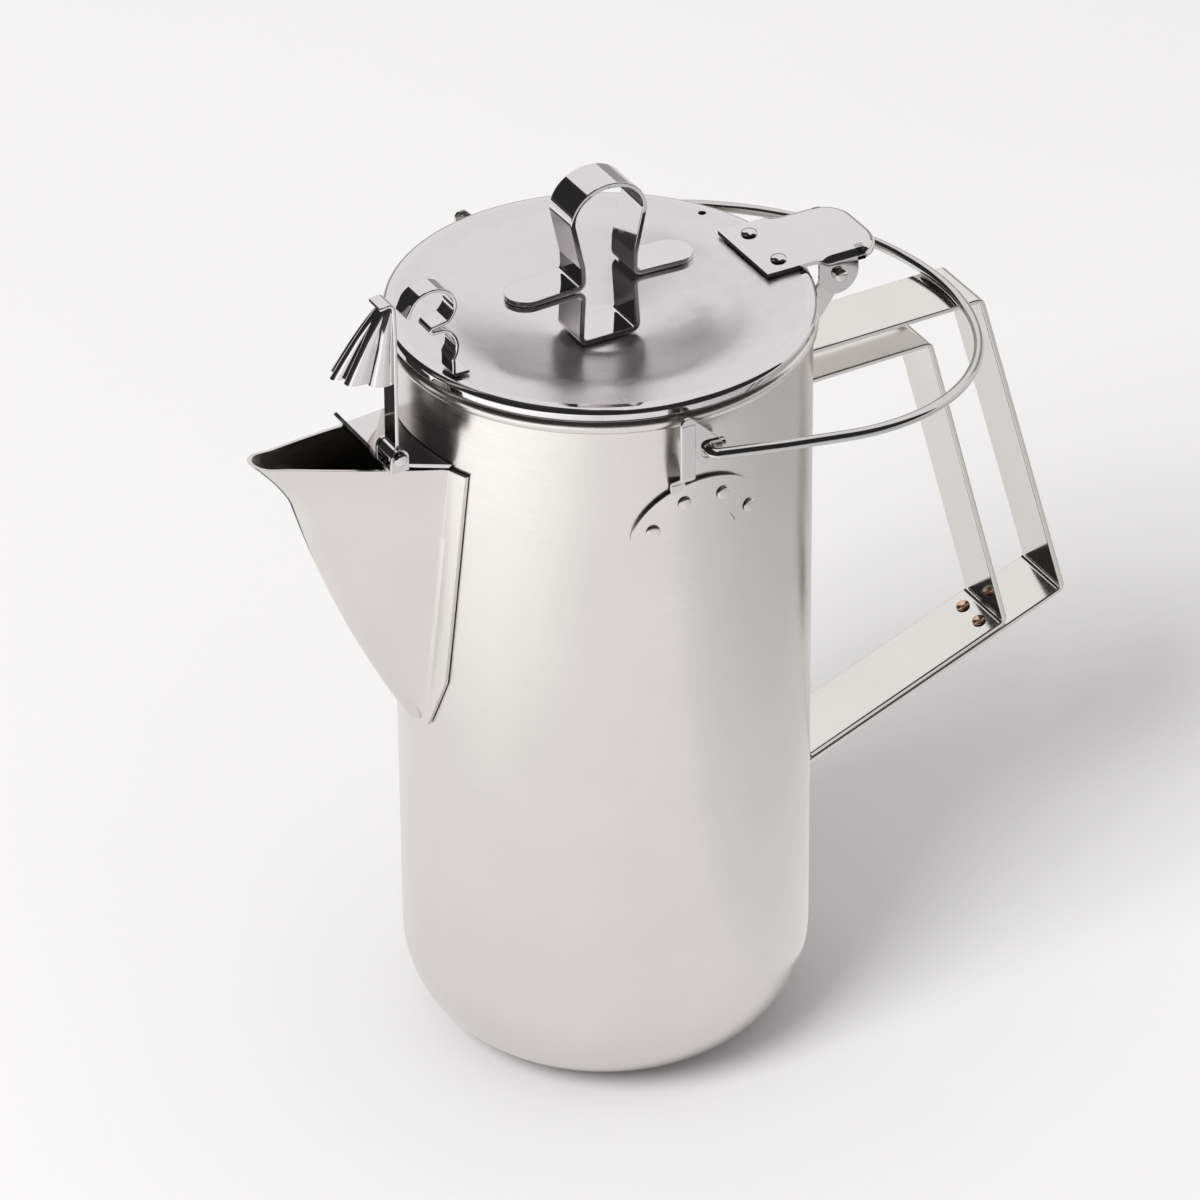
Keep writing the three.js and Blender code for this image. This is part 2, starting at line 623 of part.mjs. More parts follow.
// ---- bail and its ears --------------------------------------------------------------------------
// The riveted base: an arc-shaped band with round ends that follows the wall.
function earBand(side) {
  const { x, z, arcR, halfBand, t } = EAR;
  const [first, last] = [24, 156];
  const overrun = (halfBand / arcR) * (180 / Math.PI);
  const rings = [];
  const steps = 14;
  for (let i = 0; i <= steps; i++) {
    const a = first - overrun + ((last - first + 2 * overrun) * i) / steps;
    const past = rad(Math.max(first - a, a - last, 0)) * arcR;
    const half = Math.max(Math.sqrt(Math.max(halfBand ** 2 - past ** 2, 0)), 0.8);
    const face = (radius) => [1, 0, -1].map((s) => {
      const r = arcR + s * half;
      const angle = (x + r * Math.cos(rad(a))) / POT_R;
      return [radius * Math.sin(angle), side * radius * Math.cos(angle), z + r * Math.sin(rad(a))];
    });
    rings.push([...face(POT_R + GAP), ...face(POT_R + GAP + t).reverse()]);
  }
  return loft(rings);
}

function bailEar(side) {
  const { x, w, top } = EAR_POST;
  const radius = POT_R + GAP;
  const band = earBand(side);
  // post: rises from the band, steps outwards past the rim and ends beside the eye
  const out = EAR_LUG_Y + 0.5;
  const rise = rounded([[radius, 196.4], [radius + 0.4, 200], [out, 204], [out, top - 2]], 1.5, 3);
  const post = strap(rise, 1, w).rotateZ((side * Math.PI) / 2).translate(x, 0, 0);
  const [y0, y1] = [side * EAR_LUG_Y, side * (EAR_LUG_Y + 1)].sort((a, b) => a - b);
  const crown = bar('y', w / 2, 1, [x, (y0 + y1) / 2, top - w / 2], 20);
  const hook = [[x + 0.3, top - 2.2], [BAIL_PIVOT.x + 0.8, BAIL_PIVOT.z + 2.6]];
  const arm = alongY(ribbon(hook, 3), y0, y1);
  const eye = bar('y', 4.3, 1, [BAIL_PIVOT.x, (y0 + y1) / 2, BAIL_PIVOT.z], 20);
  const hole = bar('y', BAIL_R + 0.6, 3, [BAIL_PIVOT.x, (y0 + y1) / 2, BAIL_PIVOT.z], 16);
  return cut(join(band, post, crown, arm, eye), hole, ...earRivetHoles(side));
}

function earRivet({ angle, z }, side) {
  const body = rivet(1.85, 0.7, 0.9, POT_WALL + GAP + EAR.t + GAP + GAP, 1.7, 0.6);
  body.rotateX((-side * Math.PI) / 2);
  return body.translate(0, side * (POT_R - POT_WALL - GAP), z).rotateZ(-side * angle);
}

function bail() {
  const slope = (BAIL_END.z - BAIL_PIVOT.z) / (BAIL_END.x - BAIL_PIVOT.x);
  const { x, z } = BAIL_PIVOT;
  const ends = [[x + BAIL_STUB, BAIL_STUB_Y], [x, BAIL_STUB_Y], [x, BAIL_LEG_Y], [x + 20, BAIL_LEG_Y + 1.8]];
  const half = [...rounded(ends, 1.9, 4), ...arc(BAIL_ARC.x, 0, BAIL_ARC.r, BAIL_ARC.r, 92, 0, 10)];
  const line = [...half, ...half.slice(0, -1).reverse().map(([px, py]) => [px, -py])];
  const normal = new THREE.Vector3(-slope, 0, 1).normalize();
  const place = ([px, py]) => new THREE.Vector3(px, py, z + slope * (px - x));
  const rings = line.map((point, i) => {
    const centre = place(point);
    const ahead = place(line[Math.min(i + 1, line.length - 1)]);
    const back = place(line[Math.max(i - 1, 0)]);
    const across = ahead.sub(back).normalize().cross(normal);
    return arc(0, 0, BAIL_R, BAIL_R, 0, 315, 7).map(([u, v]) => {
      return centre.clone().addScaledVector(across, u).addScaledVector(normal, v).toArray();
    });
  });
  return loft(rings);
}

// ---- percolator insert --------------------------------------------------------------------------
function pumpTube() {
  const collar = BASKET.z0 - GAP;
  const foot = PUMP.z1 + GAP;
  const boreR = TUBE_R - 1;
  const profile = [
    [boreR, foot], [TUBE_R, foot], [TUBE_R, collar - 3], [TUBE_R + 2.5, collar - 1.5], [TUBE_R + 2.5, collar],
    [TUBE_R, collar], [TUBE_R, TUBE_TOP], [boreR, TUBE_TOP], [boreR, foot],
  ];
  return turned(profile, 14);
}

function pumpBase() {
  const { r, z0, z1 } = PUMP;
  const neckR = TUBE_R + 1.6;
  const profile = [
    [r, z0], [r + 1.2, z0], [r + 1.2, z0 + 0.9], [r * 0.72, z0 + 6.5], [neckR, z1 - 5], [neckR, z1],
    [TUBE_R - 1, z1], [TUBE_R - 1, z1 - 5], [r * 0.68, z0 + 5.2], [r, z0],
  ];
  const slots = [0, 1, 2, 3].map((i) => box(r - 4, r + 3, -3, 3, z0 - 1, z0 + 2).rotateZ((i * Math.PI) / 2));
  return cut(turned(profile, 24), ...slots);
}

function ringOfHoles(radius, count, holeR, z) {
  const holes = [];
  for (let i = 0; i < count; i++) {
    holes.push(bar('z', holeR, 8, [radius, 0, z], 6).rotateZ((i / count) * 2 * Math.PI));
  }
  return holes;
}

function coffeeBasket() {
  const { r, z0, z1, t } = BASKET;
  const bore = TUBE_BORE_R;
  const profile = [
    [bore, z0], [r, z0], [r, z1 - 1], [r + 1.2, z1], [r, z1 + 0.2], [r - t, z1 - 1], [r - t, z0 + t],
    [bore + t, z0 + t], [bore + t, z0 + 30], [bore, z0 + 30], [bore, z0],
  ];
  const holes = [...ringOfHoles(15, 6, 1.3, z0), ...ringOfHoles(26, 10, 1.3, z0)];
  return cut(turned(profile, 24), ...holes);
}

function basketLid() {
  const { r, z1 } = BASKET;
  const bore = TUBE_BORE_R;
  const z = z1 - 6;
  const profile = [
    [bore, z], [r - 3, z], [r - 2, z + 6.6], [r + 0.8, z + 6.6], [r + 0.8, z + 7.4], [r - 2.8, z + 7.4],
    [r - 3.8, z + 0.8], [bore, z + 0.8], [bore, z],
  ];
  const holes = [...ringOfHoles(14, 6, 1.3, z), ...ringOfHoles(25, 10, 1.3, z)];
  return cut(turned(profile, 24), ...holes);
}

// ---- assembly -----------------------------------------------------------------------------------
add('pot_shell', potShell(), 'satin');
add('pot_floor', potFloor(), 'satin');
add('spout', spout(), 'satin');
add('spout_hood', spoutHood(), 'mirror');
add('latch_clevis', latchClevis(), 'mirror');
add('latch_pin', latchPin(), 'mirror');
add('thumb_latch', thumbLatch(), 'mirror');
add('lid', lid(), 'mirror');
add('lid_scroll', lidScroll(), 'mirror');
add('knob_bracket', knobBracket(), 'mirror');
add('knob_loop', knobLoop(), 'mirror');
add('lid_hinge_plate', lidHingePlate(), 'mirror');
add('pot_hinge_bracket', potHingeBracket(), 'satin');
add('lid_hinge_pin', lidHingePin(), 'satin');
add('handle_outer', handleOuter(), 'satin');
add('handle_inner', handleInner(), 'satin');
add('bail', bail(), 'wire');

for (const [name, side] of [['near', -1], ['far', 1]]) {
  add(`bail_ear_${name}`, bailEar(side), 'satin');
  earRivetPlaces().forEach((place, i) => add(`ear_rivet_${name}_${i + 1}`, earRivet(place, side), 'satin'));
}

for (const [name, side] of [['near', -1], ['far', 1]]) {
  const hinge = rivet(2.2, 1, 1.2, SHEET + GAP * 3 + HINGE_PLATE.t, 2, 0.7);
  const mesh = add(`hinge_rivet_${name}`, hinge, 'mirror');
  mesh.position.set(HINGE_RIVET.x, side * HINGE_RIVET.y, LID_Z - SHEET - GAP);

  const grip = STRAP_T * 2 + GAP * 3;
  const strapRivet = add(`handle_rivet_${name}`, rivet(2.0, 1.1, 1.4, grip, 2.4, 0.8), 'copper');
  const drop = STRAP_T / 2 + GAP;
  strapRivet.position.set(
    HANDLE_RIVET.x + drop * Math.sin(ARM_ANGLE),
    side * HANDLE_RIVET.y,
    armZ(HANDLE_RIVET.x) - drop * Math.cos(ARM_ANGLE),
  );
  strapRivet.rotation.y = -ARM_ANGLE;
}

add('pump_tube', pumpTube(), 'satin');
add('pump_base', pumpBase(), 'satin');
add('coffee_basket', coffeeBasket(), 'satin');
add('basket_lid', basketLid(), 'satin');

export default percolator;
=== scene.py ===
"""Studio scene of a camping coffee percolator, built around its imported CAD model.

Pieces are made in millimetres, in the CAD model's own frame, and scaled to metres as their mesh is made.
Each sub-part has its own function. Places come from the boxes of the CAD nodes.
"""
import math

import bmesh
import bpy
from mathutils import Matrix, Vector


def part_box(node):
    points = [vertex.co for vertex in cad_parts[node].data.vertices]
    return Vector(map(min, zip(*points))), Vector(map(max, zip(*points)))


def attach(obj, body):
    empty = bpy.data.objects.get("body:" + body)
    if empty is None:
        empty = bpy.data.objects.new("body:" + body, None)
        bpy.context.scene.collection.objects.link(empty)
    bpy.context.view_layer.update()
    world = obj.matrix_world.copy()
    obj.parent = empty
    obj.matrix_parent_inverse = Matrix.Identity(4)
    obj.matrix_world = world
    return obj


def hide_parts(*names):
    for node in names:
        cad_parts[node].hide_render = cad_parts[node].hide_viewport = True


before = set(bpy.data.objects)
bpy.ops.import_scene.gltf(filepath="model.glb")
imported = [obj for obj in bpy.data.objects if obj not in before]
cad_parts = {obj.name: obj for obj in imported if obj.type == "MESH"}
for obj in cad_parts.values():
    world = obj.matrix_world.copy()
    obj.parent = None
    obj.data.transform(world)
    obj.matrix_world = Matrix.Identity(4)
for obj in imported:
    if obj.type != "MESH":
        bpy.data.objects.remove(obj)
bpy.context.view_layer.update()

# ---- driving dimensions, in millimetres ---------------------------------------------------------
MM = 0.001
GAP = 0.3  # clearance between touching pieces
ROUND = 192  # segments of a turned surface


def span(node):
    """Lowest and highest corner of a CAD node, in millimetres."""
    low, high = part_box(node)
    return low / MM, high / MM


POT_HIGH = span("pot_shell")[1]
LID_HIGH = span("lid")[1]
SPOUT_LOW, SPOUT_HIGH = span("spout")
LATCH_HIGH = span("thumb_latch")[1]
KNOB_LOW, KNOB_HIGH = span("knob_loop")
PLATE_LOW, PLATE_HIGH = span("lid_hinge_plate")
HINGE_PIN_LOW, HINGE_PIN_HIGH = span("lid_hinge_pin")
LATCH_PIN_LOW, LATCH_PIN_HIGH = span("latch_pin")

BEAD_PROUD = 1.5  # the rolled rim stands out from the wall by this
BEAD_HALF_WIDTH = 1.15
BEAD_HALF_HEIGHT = 2.0
POT_WALL = 0.8
CORNER_R = 29  # bend between the wall and the bottom
POT_R = POT_HIGH.x - BEAD_PROUD
BEAD_Z = POT_HIGH.z - BEAD_HALF_HEIGHT

SHEET = 0.9  # lid sheet
LID_R = LID_HIGH.x
LID_Z = LID_HIGH.z
LID_SKIRT = 3.3
LID_EDGE_R = 1.6
DISH_R = 49  # the dish's slope starts here, softly
DISH_WALL_R = 38  # outer end of its straight wall
DISH_FLOOR_R = 10.6
DISH_HEEL = 2.5  # bend between its wall and its floor
DISH_DEPTH = 9.6
LID_RING_R = 53.3
LID_RING_DEPTH = 7.5
VENT = (45.3, 25.9)
VENT_R = 1.1

STRAP_T = 1.5
HANDLE_CORNER = (111.6, 196.2)
HANDLE_ELBOW = (140.2, 95.4)
HANDLE_TOP_Z = 195.4
HANDLE_FOOT_Z = 63.4
INNER_TOP_Z = 186.4
INNER_CORNER = (95.6, 187.1)
INNER_ELBOW_X = 121.6
INNER_FOOT_X = 59.5  # the inner strap laps the outer one almost to the pot

EAR = {"x": -1, "z": 178.7, "arc_r": 16, "half": 4.9, "t": 1.0, "rivets": (30, 70, 110, 150)}
EAR_LUG_Y = 61.3
EAR_POST = {"x": -8.4, "w": 4.2, "top": 222.4}
BAIL_R = 1.5  # wire radius
BAIL_PIVOT = (-2.5, 211.3)
BAIL_END = (105, 198.7)
BAIL_ARC_X, BAIL_ARC_R = 37.8, 67.2  # the loop's round end
BAIL_LEG_Y = 64.6
BAIL_STUB_Y = 59.4
BAIL_STUB = 6.5  # length of the hook inside the ear

STRAINER = {"rows": 6, "top_z": 184, "row_pitch": 9, "hole_pitch": 7, "hole_r": 2.2}


# ---- outlines -----------------------------------------------------------------------------------
def arc(cx, cy, rx, ry, start, stop, steps):
    """Points of an elliptical arc, angles in degrees."""
    angles = [math.radians(start + (stop - start) * i / steps) for i in range(steps + 1)]
    return [(cx + rx * math.cos(a), cy + ry * math.sin(a)) for a in angles]


def rounded(points, radius, steps=10):
    """A polyline whose inner corners are replaced with smooth bends."""
    out = [tuple(points[0])]
    for before, here, after in zip(points, points[1:], points[2:]):
        corner = Vector(here)
        back = Vector(before) - corner
        ahead = Vector(after) - corner
        reach = min(radius / math.tan(back.angle(ahead) / 2), back.length * 0.49, ahead.length * 0.49)
        start = corner + back.normalized() * reach
        end = corner + ahead.normalized() * reach
        for k in range(steps + 1):
            t = k / steps
            out.append(tuple(start * (1 - t) ** 2 + corner * 2 * t * (1 - t) + end * t * t))
    out.append(tuple(points[-1]))
    return out


def smooth_step(low, high, value):
    t = min(1.0, max(0.0, (value - low) / (high - low)))
    return t * t * (3 - 2 * t)


def mix(a, b, t):
    return a + (b - a) * t


# ---- meshes -------------------------------------------------------------------------------------
def new_object(name, verts, faces):
    """A clean mesh object from points in millimetres, with its faces pointing out."""
    mesh = bpy.data.meshes.new(name)
    mesh.from_pydata([[c * MM for c in v] for v in verts], [], faces)
    bm = bmesh.new()
    bm.from_mesh(mesh)
    bmesh.ops.remove_doubles(bm, verts=bm.verts, dist=1e-7)
    bmesh.ops.dissolve_degenerate(bm, dist=1e-8, edges=bm.edges)
    bmesh.ops.recalc_face_normals(bm, faces=bm.faces)
    bm.to_mesh(mesh)
    bm.free()
    obj = bpy.data.objects.new(name, mesh)
    bpy.context.scene.collection.objects.link(obj)
    return obj


def skin(rings, loop=False, folded=False):
    """Faces over rings of points. A folded ring is a strip and its back, so its cap is a ladder."""
    n = len(rings[0])
    verts = [tuple(p) for ring in rings for p in ring]
    faces = []
    for i in range(len(rings) if loop else len(rings) - 1):
        a, b = i * n, ((i + 1) % len(rings)) * n
        for j in range(n):
            k = (j + 1) % n
            faces.append((a + j, a + k, b + k, b + j))
    if not loop:
        for first in (0, len(verts) - n):
            if folded:
                rungs = range(n // 2 - 1)
                faces += [(first + j, first + j + 1, first + n - 2 - j, first + n - 1 - j) for j in rungs]
            else:
                faces.append(tuple(range(first, first + n)))
    return verts, faces


def turned(name, profile, segments=ROUND):
    """A closed profile of (radius, height) points turned about the Z axis."""
    rings = []
    for i in range(segments):
        a = 2 * math.pi * i / segments
        rings.append([(r * math.cos(a), r * math.sin(a), z) for r, z in profile])
    return new_object(name, *skin(rings, loop=True))


def strap_section(half, thickness, edge):
    """Rounded rectangle of (across, normal) points."""
    edge = max(0.02, min(edge, half * 0.98, thickness * 0.49))
    w, h = half - edge, thickness / 2 - edge
    points = []
    for cx, cy, start in ((w, h, 0), (-w, h, 90), (-w, -h, 180), (w, -h, 270)):
        points += arc(cx, cy, edge, edge, start, start + 90, 4)
    return points


def strap(name, line, thickness, half, y=0.0, edge=0.35):
    """Sheet strap along a line of (x, z) points. half is its half width, or a function of x."""
    half_at = half if callable(half) else lambda x: half
    rings = []
    last = len(line) - 1
    for i, (x, z) in enumerate(line):
        ahead = Vector(line[min(i + 1, last)])
        along = (ahead - Vector(line[max(i - 1, 0)])).normalized()
        for push, inset in end_steps(i, last, edge):
            section = strap_section(max(half_at(x) - inset, 0.03), thickness - 2 * inset, edge)
            cx, cz = x + along.x * push, z + along.y * push
            rings.append([(cx - along.y * n, y + a, cz + along.x * n) for a, n in section])
    return new_object(name, *skin(rings))


def end_steps(i, last, edge):
    """(push along, inset) of the rings at a strap's station: its two ends are rounded over."""
    turns = [(math.sin(math.radians(a)), 1 - math.cos(math.radians(a))) for a in (0, 30, 60, 80)]
    if i == 0:
        return [(edge * (1 - s), edge * c) for s, c in reversed(turns)]
    if i == last:
        return [(edge * (s - 1), edge * c) for s, c in turns]
    return [(0.0, 0.0)]


def plate(name, outline, low, high, axis="y"):
    """Flat sheet: an outline of (x, z) points thickened along Y, or of (x, y) points along Z."""
    if axis == "y":
        rings = [[(a, level, b) for a, b in outline] for level in (low, high)]
    else:
        rings = [[(a, b, level) for a, b in outline] for level in (low, high)]
    return new_object(name, *skin(rings))


def rod(name, radius, start, end, sides=48, dome=0.0):
    """Round bar from start to end, with ends that dome out inside its length."""
    start, end = Vector(start), Vector(end)
    along = (end - start).normalized()
    side = along.orthogonal().normalized()
    other = along.cross(side)
    stations = [(0.0, 1.0), ((end - start).length, 1.0)]
    if dome:
        turns = [math.radians(d) for d in (85, 65, 45, 22, 0)]
        curve = [(dome * (1 - math.sin(a)), math.cos(a)) for a in turns]
        stations = curve + [((end - start).length - d, r) for d, r in reversed(curve)]
    rings = []
    for distance, share in stations:
        centre = start + along * distance
        ring = []
        for j in range(sides):
            a = 2 * math.pi * j / sides
            ring.append(centre + (side * math.cos(a) + other * math.sin(a)) * radius * share)
        rings.append(ring)
    return new_object(name, *skin(rings))


def drill(obj, *tools):
    """Cut the tool objects out of obj and remove them."""
    for tool in tools:
        cutter = obj.modifiers.new("cut", "BOOLEAN")
        cutter.operation = "DIFFERENCE"
        cutter.solver = "EXACT"
        cutter.object = tool
    graph = bpy.context.evaluated_depsgraph_get()
    mesh = bpy.data.meshes.new_from_object(obj.evaluated_get(graph))
    obj.modifiers.clear()
    obj.data = mesh
    for tool in tools:
        bpy.data.objects.remove(tool)
    return obj


def dress(obj, body, nodes, material, sharp=35, bevel=0.0):
    """Shade a piece, round its sharp edges and fix it to its CAD body."""
    mesh = obj.data
    mesh.materials.clear()
    mesh.materials.append(material)
    mesh.shade_smooth()
    mesh.set_sharp_from_angle(angle=math.radians(sharp))
    if bevel:
        edges = obj.modifiers.new("rounded edges", "BEVEL")
        edges.width = bevel * MM
        edges.segments = 3
        edges.limit_method = "ANGLE"
        edges.angle_limit = math.radians(sharp)
        edges.harden_normals = True
    normals = obj.modifiers.new("flat faces stay flat", "WEIGHTED_NORMAL")
    normals.keep_sharp = True
    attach(obj, body)
    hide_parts(*nodes)
    return obj


# ---- materials ----------------------------------------------------------------------------------
def steel(name, colour, roughness, grain, grain_depth):
    """Stainless steel. grain stretches the polishing marks, in waves per metre along X, Y and Z."""
    material = bpy.data.materials.new(name)
    material.use_nodes = True
    tree = material.node_tree
    shader = tree.nodes["Principled BSDF"]
    shader.inputs["Metallic"].default_value = 1.0
    coords = tree.nodes.new("ShaderNodeTexCoord").outputs["Object"]

    clouds = tree.nodes.new("ShaderNodeTexNoise")
    clouds.inputs["Scale"].default_value = 38.0
    clouds.inputs["Detail"].default_value = 3.0
    tree.links.new(coords, clouds.inputs["Vector"])

    tone = tree.nodes.new("ShaderNodeValToRGB")
    tone.color_ramp.elements[0].position = 0.3
    tone.color_ramp.elements[0].color = (*[c * 0.965 for c in colour], 1)
    tone.color_ramp.elements[1].position = 0.7
    tone.color_ramp.elements[1].color = (*colour, 1)
    tree.links.new(clouds.outputs["Fac"], tone.inputs["Fac"])
    tree.links.new(tone.outputs["Color"], shader.inputs["Base Color"])

    stretch = tree.nodes.new("ShaderNodeMapping")
    stretch.inputs["Scale"].default_value = grain
    marks = tree.nodes.new("ShaderNodeTexNoise")
    marks.inputs["Scale"].default_value = 1.0
    marks.inputs["Detail"].default_value = 4.0
    tree.links.new(coords, stretch.inputs["Vector"])
    tree.links.new(stretch.outputs["Vector"], marks.inputs["Vector"])

    spread = tree.nodes.new("ShaderNodeMapRange")
    spread.inputs["From Min"].default_value = 0.3
    spread.inputs["From Max"].default_value = 0.7
    spread.inputs["To Min"].default_value = roughness[0]
    spread.inputs["To Max"].default_value = roughness[1]
    tree.links.new(marks.outputs["Fac"], spread.inputs["Value"])
    tree.links.new(spread.outputs["Result"], shader.inputs["Roughness"])

    bump = tree.nodes.new("ShaderNodeBump")
    bump.inputs["Strength"].default_value = grain_depth
    bump.inputs["Distance"].default_value = 0.0001
    tree.links.new(marks.outputs["Fac"], bump.inputs["Height"])
    tree.links.new(bump.outputs["Normal"], shader.inputs["Normal"])
    return material


BODY_STEEL = steel("body_steel", (0.74, 0.71, 0.685), (0.19, 0.27), (60, 60, 2600), 0.05)
MIRROR_STEEL = steel("mirror_steel", (0.70, 0.675, 0.68), (0.03, 0.07), (500, 500, 500), 0.01)
LID_STEEL = steel("lid_steel", (0.735, 0.705, 0.71), (0.27, 0.34), (260, 260, 260), 0.02)
STRAP_STEEL = steel("strap_steel", (0.75, 0.73, 0.70), (0.09, 0.16), (120, 2400, 120), 0.05)
WIRE_STEEL = steel("wire_steel", (0.62, 0.61, 0.60), (0.06, 0.12), (250, 250, 1500), 0.03)
TINTED_STEEL = steel("tinted_steel", (0.82, 0.55, 0.4), (0.16, 0.26), (900, 900, 900), 0.03)


# ---- pot ----------------------------------------------------------------------------------------
POT_NODES = ("pot_shell", "pot_floor")


def pot_shell():
    flat_r = POT_R - CORNER_R
    inner_r = POT_R - POT_WALL
    bead_r = inner_r + BEAD_HALF_WIDTH
    profile = [
        (0, 0),
        *arc(flat_r, CORNER_R, CORNER_R, CORNER_R, -90, 0, 40),
        (POT_R, BEAD_Z - BEAD_HALF_HEIGHT - 0.2),
        *arc(bead_r, BEAD_Z, BEAD_HALF_WIDTH, BEAD_HALF_HEIGHT, -70, 180, 28),
        *arc(flat_r, CORNER_R, CORNER_R - POT_WALL, CORNER_R - POT_WALL, 0, -90, 30),
        (0, POT_WALL),
    ]
    shell = drill(turned("pot_shell_steel", profile), *strainer_holes())
    dress(shell, "pot", POT_NODES, BODY_STEEL)


def strainer_holes():
    """Rows of holes behind the spout that narrow downwards with it."""
    tools = []
    for row in range(STRAINER["rows"]):
        z = STRAINER["top_z"] - row * STRAINER["row_pitch"]
        count = 4 - row // 2
        for i in range(count):
            a = math.pi + (i - (count - 1) / 2) * STRAINER["hole_pitch"] / POT_R
            out = Vector((math.cos(a), math.sin(a), 0))
            lift = Vector((0, 0, z))
            inside, outside = out * (POT_R - 3) + lift, out * (POT_R + 3) + lift
            tools.append(rod(f"hole_{row}_{i}", STRAINER["hole_r"], inside, outside, 20))
    return tools


# ---- spout --------------------------------------------------------------------------------------
SPOUT_T = 1.0
SPOUT_TIP_X, SPOUT_TIP_Z = -SPOUT_LOW.x, SPOUT_HIGH.z
SPOUT_ROOT_X, SPOUT_ROOT_Z = 55, 197
SPOUT_FOOT_Z = SPOUT_LOW.z
SPOUT_ROOT_HALF, SPOUT_FOOT_HALF = 16.8, 4.6
SPOUT_EDGE_SLOPE = (SPOUT_TIP_Z - SPOUT_ROOT_Z) / (SPOUT_TIP_X - SPOUT_ROOT_X)


def keel_x(z):
    """Distance of the keel from the pot's axis: a slight belly, then a lip that flares out."""
    t = (z - SPOUT_FOOT_Z) / (SPOUT_TIP_Z - SPOUT_FOOT_Z)
    belly = 3.2 * math.sin(math.pi * min(t, 1))
    lip = 7.5 * max(0.0, (t - 0.84) / 0.16) ** 1.6
    return 59.3 + 36.7 * t + belly + lip


def spout_half(t, inset):
    """Half of the section at one height, flange edge to nose, as (x, y) with x to the front."""
    half = mix(SPOUT_FOOT_HALF, SPOUT_ROOT_HALF, t ** 0.85)
    flange = half + 1.5 + 5 * min(1, t * 5) * (1 - 0.12 * t)
    wall_r = POT_R + GAP + SPOUT_T - inset
    keel = keel_x(mix(SPOUT_FOOT_Z, SPOUT_TIP_Z, t)) - inset * 1.3
    nose = mix(2.6, 5.2, t) - inset * 0.7
    root = half - inset
    points = []
    for i in range(7):
        y = mix(flange, half + 0.6, i / 6)
        points.append((math.sqrt(wall_r ** 2 - y ** 2), y))
    root_x = math.sqrt(wall_r ** 2 - root ** 2)
    shoulder_x, shoulder_y = keel - nose * 1.15, nose * 0.98
    for i in range(10):
        s = mix(0.03, 0.94, i / 9)
        bow = 0.9 * math.sin(math.pi * s) * t
        points.append((mix(root_x, shoulder_x, s), mix(root, shoulder_y, s) + bow))
    points += [(keel - nose + x, y) for x, y in arc(0, 0, nose, nose, 80, 0, 10)]
    return [(max(x, math.sqrt(wall_r ** 2 - y ** 2)), y) for x, y in points]


def spout_ring(t):
    """Closed section of the spout's sheet at share t of its height."""
    def strip(inset):
        half = spout_half(t, inset)
        return half + [(x, -y) for x, y in reversed(half[:-1])]

    def raised(point):
        x, y = point
        forward = min(1.0, max(0.0, (x - SPOUT_ROOT_X) / (SPOUT_TIP_X - SPOUT_ROOT_X)))
        top = mix(SPOUT_ROOT_Z, SPOUT_TIP_Z, forward)
        return (-x, y, mix(SPOUT_FOOT_Z, top, t))

    return [raised(p) for p in strip(0)] + [raised(p) for p in reversed(strip(SPOUT_T))]


def spout():
    levels = [i / 60 for i in range(61)]
    obj = new_object("spout_steel", *skin([spout_ring(t) for t in levels], folded=True))
    dress(obj, "pot", ["spout"], BODY_STEEL, bevel=0.22)


HOOD = {"front": -70.5, "front_half": 12.2, "back_half": 17.6, "t": 1.0, "lip": 4.2, "lip_from_y": -8.1}


def hood_z(x):
    """Middle height of the hood's sheet, just above the spout's sloping top edge."""
    return SPOUT_ROOT_Z + SPOUT_EDGE_SLOPE * (-x - SPOUT_ROOT_X) + GAP + 0.15 + HOOD["t"] / 2


def spout_hood():
    """Cover over the spout's root. It follows the wall behind, and its front edge turns up."""
    columns = 48
    outer, inner = [], []
    for i in range(columns + 1):
        share = mix(-1, 1, i / columns)
        y_front = share * (HOOD["front_half"] - 0.6)
        y_back = share * HOOD["back_half"] * 0.97
        back = -math.sqrt((POT_R + GAP) ** 2 - y_back ** 2)
        lip = max(0.4, HOOD["lip"] * smooth_step(HOOD["lip_from_y"] - 0.6, HOOD["lip_from_y"] + 0.6, y_front))
        front_z = hood_z(HOOD["front"])
        lip_top = (HOOD["front"] - 0.52 * lip, front_z + lip)
        line = rounded([(back, hood_z(back)), (HOOD["front"], front_z), lip_top], 1.4, 8)
        for side, column in ((1, outer), (-1, inner)):
            points = []
            for k, (x, z) in enumerate(line):
                ahead = Vector(line[min(k + 1, len(line) - 1)])
                along = (ahead - Vector(line[max(k - 1, 0)])).normalized()
                reach = (x - back) / (HOOD["front"] - back)
                offset = side * HOOD["t"] / 2
                y = mix(y_back, y_front, min(1, reach))
                points.append((x + along.y * offset, y, z - along.x * offset))
            column.append(points)
    rings = [a + list(reversed(b)) for a, b in zip(outer, inner)]
    obj = new_object("spout_hood_steel", *skin(rings, folded=True))
    dress(obj, "pot", ["spout_hood"], MIRROR_STEEL, bevel=0.2)


# ---- thumb latch --------------------------------------------------------------------------------
LATCH_X = (LATCH_PIN_LOW.x + LATCH_PIN_HIGH.x) / 2
LATCH_Y = (LATCH_PIN_LOW.y + LATCH_PIN_HIGH.y) / 2
LATCH_Z = (LATCH_PIN_LOW.z + LATCH_PIN_HIGH.z) / 2
LATCH_W = 6.4
LATCH_TOP = LATCH_HIGH.z - 0.5
LATCH_PIN_R = 1.1
CLEVIS_R = 2.6
PAD = {"height": 23.5, "reach": 12.9, "side": 6.4, "flutes": 5, "depth": 0.22, "t": 0.8}


